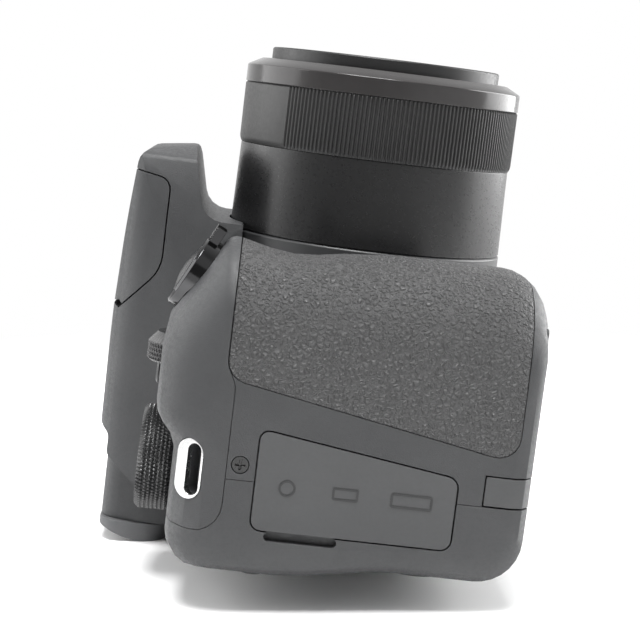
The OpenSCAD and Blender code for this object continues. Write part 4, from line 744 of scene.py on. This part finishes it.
class FinishControls(bpy.types.Operator):
    """Makes the shutter button, the zoom lever, the dials and the buttons"""
    bl_idname = "bridge_camera.controls"
    bl_label = "Dials and buttons"

    def execute(self, context):
        sizes = context.scene.camera_shapes
        dress("zoom_lever", LOOKS["lever"], sizes.small_edge, 30.0)
        dress("shutter_button", LOOKS["dome"], sizes.small_edge, 20.0)
        dress("dioptre_dial", LOOKS["control"], sizes.small_edge, 30.0)
        for node in ("power_button", "movie_button", "playback_button", "focus_button", "menu_button",
                     "display_button", "four_way_pad", "set_button", "framing_button_front",
                     "framing_button_rear"):
            dress(node, LOOKS["button"], sizes.small_edge, 25.0)
        self.mode_dial(sizes)
        self.front_dial(sizes)
        return {"FINISHED"}

    def mode_dial(self, sizes):
        """The knurled mode dial with plain figures on its top."""
        low, high = corner("mode_dial", 0), corner("mode_dial", 1)
        middle = centre("mode_dial")
        radius, tall = (high.x - low.x) / 2, high.z - low.z
        bevel, bore, sink = sizes.dial_bevel, sizes.dial_bore, 0.25 * MM
        bore_top = tall - sizes.dial_top
        start, end, foot = 0.7 * MM, tall - bevel, 0.6 * MM
        rim, dish, ring = radius - 2.2 * bevel, radius - 2.4 * bevel, radius - 4.6 * bevel
        wall = [(radius, height) for height in stations(start, end, DIAL_ROWS)]
        profile = ([(0, bore_top), (bore, bore_top), (bore, 0), (radius - foot, 0)] + wall
                   + [(radius - bevel, tall), (rim, tall), (dish, tall - sink), (0, tall - sink)])
        shape = turned(profile, sizes.knurl_count * KNURL_STEPS, False)
        knurl(shape, radius, start, end, sizes.knurl_count, sizes.knurl_pitch, sizes.knurl_depth)
        place(shape, Matrix.Translation((middle.x, middle.y, low.z)))
        settle(shape, "knurled_mode_dial", BODY_OF["mode_dial"], LOOKS["knurl"],
               ["mode_dial"])
        self.figures(sizes, middle, ring, high.z - sink)

    def figures(self, sizes, middle, reach, level):
        """Plain figures from 1 up round the dial's top."""
        thick, lift = 0.03 * MM, 0.02 * MM
        shape = bmesh.new()
        for index in range(FIGURES):
            words = bpy.data.curves.new("figure", "FONT")
            words.body = str(index + 1)
            words.size = sizes.figure_size
            words.align_x = words.align_y = "CENTER"
            words.extrude = thick
            holder = bpy.data.objects.new("figure", words)
            bpy.context.scene.collection.objects.link(holder)
            mesh = bpy.data.meshes.new_from_object(holder)
            turn = Matrix.Rotation(-math.tau * index / FIGURES, 4, "Z")
            mesh.transform(Matrix.Translation((middle.x, middle.y, level)) @ turn
                           @ Matrix.Translation((0, reach, lift)))
            shape.from_mesh(mesh)
            bpy.data.objects.remove(holder)
            bpy.data.meshes.remove(mesh)
            bpy.data.curves.remove(words)
        settle(shape, "mode_figures", BODY_OF["mode_dial"], LOOKS["figures"])

    def front_dial(self, sizes):
        """The wheel behind the shutter button: a knurled rim and a plain cone."""
        low, high = corner("front_dial", 0), corner("front_dial", 1)
        middle = centre("front_dial")
        radius = (high.x - low.x) / 2
        half = (high.y - low.y) / 2 - sizes.pin_length
        pin, out = sizes.pin_radius, half + sizes.pin_length
        step, bevel = 0.1 * MM, 0.4 * MM
        start, end = sizes.cone_length - half + step, half - bevel
        wall = [(radius, height) for height in stations(start, end, WHEEL_ROWS)]
        profile = ([(0, -out), (pin, -out), (pin, -half), (radius - sizes.cone_drop, -half),
                    (radius - step, start - step)]
                   + wall + [(radius - bevel, half), (pin, half), (pin, out), (0, out)])
        shape = turned(profile, sizes.wheel_count * KNURL_STEPS, False)
        knurl(shape, radius, start, end, sizes.wheel_count, sizes.knurl_pitch, sizes.knurl_depth)
        place(shape, Matrix.Translation(middle) @ Matrix.Rotation(math.radians(-90), 4, "X"))
        settle(shape, "knurled_front_dial", BODY_OF["front_dial"], LOOKS["knurl"],
               ["front_dial"])


class FinishFittings(bpy.types.Operator):
    """Softens the strap lugs, the screws, the latch and the other small fittings"""
    bl_idname = "bridge_camera.fittings"
    bl_label = "Fittings"

    def execute(self, context):
        edge = context.scene.camera_shapes.small_edge
        for node, look in (("strap_lugs", "bright"), ("cover_screws", "screw"), ("tripod_socket", "steel"),
                           ("door_latch", "control"), ("focus_lamp", "lamp"), ("speaker", "inner"),
                           ("flash_window", "clear"), ("eyepiece", "lens"), ("port_block", "inner")):
            dress(node, LOOKS[look], edge, 30.0)
        return {"FINISHED"}


class FinishScreen(bpy.types.Operator):
    """Softens the folding screen's frame and its dark glass"""
    bl_idname = "bridge_camera.screen"
    bl_label = "Screen"

    def execute(self, context):
        sizes = context.scene.camera_shapes
        dress("screen_frame", LOOKS["button"], sizes.cover_edge)
        dress("screen", LOOKS["screen"], sizes.small_edge)
        return {"FINISHED"}


class FinishInside(bpy.types.Operator):
    """Gives the pieces inside their surfaces"""
    bl_idname = "bridge_camera.inside"
    bl_label = "Inside"

    def execute(self, context):
        for node, look in (("battery_case", "inner"), ("battery", "label"), ("memory_card", "label"),
                           ("lens_chassis", "anodised"), ("cam_ring", "anodised"), ("zoom_group", "lens"),
                           ("rear_group", "lens"), ("image_sensor", "board"), ("zoom_motor", "steel"),
                           ("main_board", "board"), ("flash_tube", "clear"), ("flash_pin", "steel"),
                           ("finder_tube", "inner"), ("finder_display", "screen")):
            mesh = frame["nodes"][node].data
            mesh.materials.clear()
            mesh.materials.append(LOOKS[look])
        return {"FINISHED"}


LAMPS = (  # name, size and place in metres
    ("top", (0.4, 0.5), (-0.3, -0.95, 0.2)),
    ("front", (0.8, 0.8), (-0.6, -0.75, 0.03)),
    ("left", (0.9, 0.7), (0.12, -0.25, 0.86)),
    ("right", (1.1, 0.7), (0.28, -0.25, -0.78)),
)
LAMP_AIM = Vector((-0.01, -0.02, 0.04))
SENSOR_WIDTH = 36.0  # millimetres
NEAREST = 0.01  # metres from the viewing camera
TABLE_GAP = 0.1 * MM


class SetStage(bpy.types.Operator):
    """Sets up the table, the room, the lamps and the viewing camera"""
    bl_idname = "bridge_camera.stage"
    bl_label = "Stage"

    def execute(self, context):
        stage = context.scene.camera_stage
        context.scene.view_settings.view_transform = "Standard"
        self.table(context, stage)
        self.room(context, stage)
        for name, size, spot in LAMPS:
            self.lamp(context, name + "_lamp", getattr(stage, name), size, spot)
        view = bpy.data.cameras.new("view")
        view.lens = stage.lens
        view.sensor_width = SENSOR_WIDTH
        view.clip_start = NEAREST
        holder = bpy.data.objects.new("view", view)
        holder.location = stage.place
        holder.rotation_euler = stage.turn
        context.scene.collection.objects.link(holder)
        context.scene.camera = holder
        return {"FINISHED"}

    def table(self, context, stage):
        """A table against the camera's back, seen only from the camera's side of it."""
        eye = corner("eyecup", 1)
        panel = Vector((0, corner("screen_frame", 1).y, corner("screen_frame", 0).z))
        upper = Vector((0, eye.y, centre("eyecup").z))
        run = (upper - panel).normalized()
        facing = Vector((0, -run.z, run.y))
        shape = bmesh.new()
        bmesh.ops.create_grid(shape, x_segments=1, y_segments=1, size=stage.table_reach)
        lying = facing.to_track_quat("Z", "Y").to_matrix().to_4x4()
        place(shape, Matrix.Translation(panel - facing * TABLE_GAP) @ lying)
        mesh = bpy.data.meshes.new("table")
        shape.to_mesh(mesh)
        shape.free()
        table = bpy.data.objects.new("table", mesh)
        context.scene.collection.objects.link(table)
        look = bpy.data.materials.new("table_top")
        look.use_nodes = True
        tree = look.node_tree
        tree.nodes.clear()
        seen = self.seen(tree)
        pale = ranged(tree, seen, 0.0, 1.0, stage.table, 1.0)
        top = add(tree, "ShaderNodeBsdfDiffuse", Color=pale)
        backdrop = add(tree, "ShaderNodeEmission", Color=(1, 1, 1, 1), Strength=1.0)
        where = add(tree, "ShaderNodeTexCoord").outputs["Object"]
        reach = combined(tree, "DISTANCE", where, panel, kind="ShaderNodeVectorMath")["Value"]
        far = eased(tree, reach, stage.backdrop_start, stage.backdrop_end, 0.0, 1.0)
        face = self.mixed(tree, combined(tree, "MULTIPLY", far, seen)["Value"], top, backdrop)
        back = add(tree, "ShaderNodeNewGeometry").outputs["Backfacing"]
        mix = self.mixed(tree, back, face, add(tree, "ShaderNodeBsdfTransparent"))
        tree.links.new(mix.outputs[0], add(tree, "ShaderNodeOutputMaterial").inputs["Surface"])
        mesh.materials.append(look)

    def mixed(self, tree, share_of_second, first, second):
        """Mixes two shaders."""
        mix = add(tree, "ShaderNodeMixShader", Fac=share_of_second)
        tree.links.new(first.outputs[0], mix.inputs[1])
        tree.links.new(second.outputs[0], mix.inputs[2])
        return mix

    def seen(self, tree):
        """1 where a surface is seen directly, mirrored or through glass."""
        path = add(tree, "ShaderNodeLightPath").outputs
        either = combined(tree, "MAXIMUM", path["Is Camera Ray"], path["Is Glossy Ray"])["Value"]
        return combined(tree, "MAXIMUM", either, path["Is Transmission Ray"])["Value"]

    def room(self, context, stage):
        """A pale room with one darker, open side, plain white where it is seen directly or through glass."""
        world = bpy.data.worlds.new("room")
        world.use_nodes = True
        tree = world.node_tree
        tree.nodes.clear()
        where = add(tree, "ShaderNodeTexCoord").outputs["Generated"]
        way = add(tree, "ShaderNodeSeparateXYZ", Vector=where).outputs["X"]
        wall = eased(tree, way, -0.8, 0.9, stage.room_front, stage.room)
        path = add(tree, "ShaderNodeLightPath").outputs
        shown = combined(tree, "MAXIMUM", path["Is Camera Ray"], path["Is Transmission Ray"])["Value"]
        strength = ranged(tree, shown, 0.0, 1.0, wall, 1.0)
        light = add(tree, "ShaderNodeBackground", Color=(1, 1, 1, 1), Strength=strength)
        tree.links.new(light.outputs[0], add(tree, "ShaderNodeOutputWorld").inputs["Surface"])
        context.scene.world = world

    def lamp(self, context, name, power, size, spot):
        """A large soft lamp that faces the part."""
        light = bpy.data.lights.new(name, "AREA")
        light.energy = power
        light.shape = "RECTANGLE"
        light.size, light.size_y = size
        holder = bpy.data.objects.new(name, light)
        holder.location = spot
        holder.rotation_euler = (LAMP_AIM - Vector(spot)).to_track_quat("-Z", "Y").to_euler()
        context.scene.collection.objects.link(holder)


OPERATORS = (FinishCovers, FinishRubber, FinishLens, FinishControls, FinishFittings, FinishScreen,
             FinishInside, SetStage)


class CameraPanel(bpy.types.Panel):
    """Lists the finishing steps"""
    bl_idname = "VIEW3D_PT_bridge_camera"
    bl_label = "Bridge camera"
    bl_space_type = "VIEW_3D"
    bl_region_type = "UI"
    bl_category = "Bridge camera"

    def draw(self, context):
        for operator in OPERATORS:
            self.layout.operator(operator.bl_idname)


CLASSES = (CameraShapes, CameraFinishes, CameraStage) + OPERATORS + (CameraPanel,)


def register():
    for item in CLASSES:
        bpy.utils.register_class(item)
    bpy.types.Scene.camera_shapes = bpy.props.PointerProperty(type=CameraShapes)
    bpy.types.Scene.camera_finishes = bpy.props.PointerProperty(type=CameraFinishes)
    bpy.types.Scene.camera_stage = bpy.props.PointerProperty(type=CameraStage)


def unregister():
    del bpy.types.Scene.camera_stage
    del bpy.types.Scene.camera_finishes
    del bpy.types.Scene.camera_shapes
    for item in reversed(CLASSES):
        bpy.utils.unregister_class(item)


def main():
    register()
    bpy.ops.bridge_camera.covers()
    bpy.ops.bridge_camera.rubber()
    bpy.ops.bridge_camera.lens()
    bpy.ops.bridge_camera.controls()
    bpy.ops.bridge_camera.fittings()
    bpy.ops.bridge_camera.screen()
    bpy.ops.bridge_camera.inside()
    bpy.ops.bridge_camera.stage()


if __name__ == "__main__":
    main()
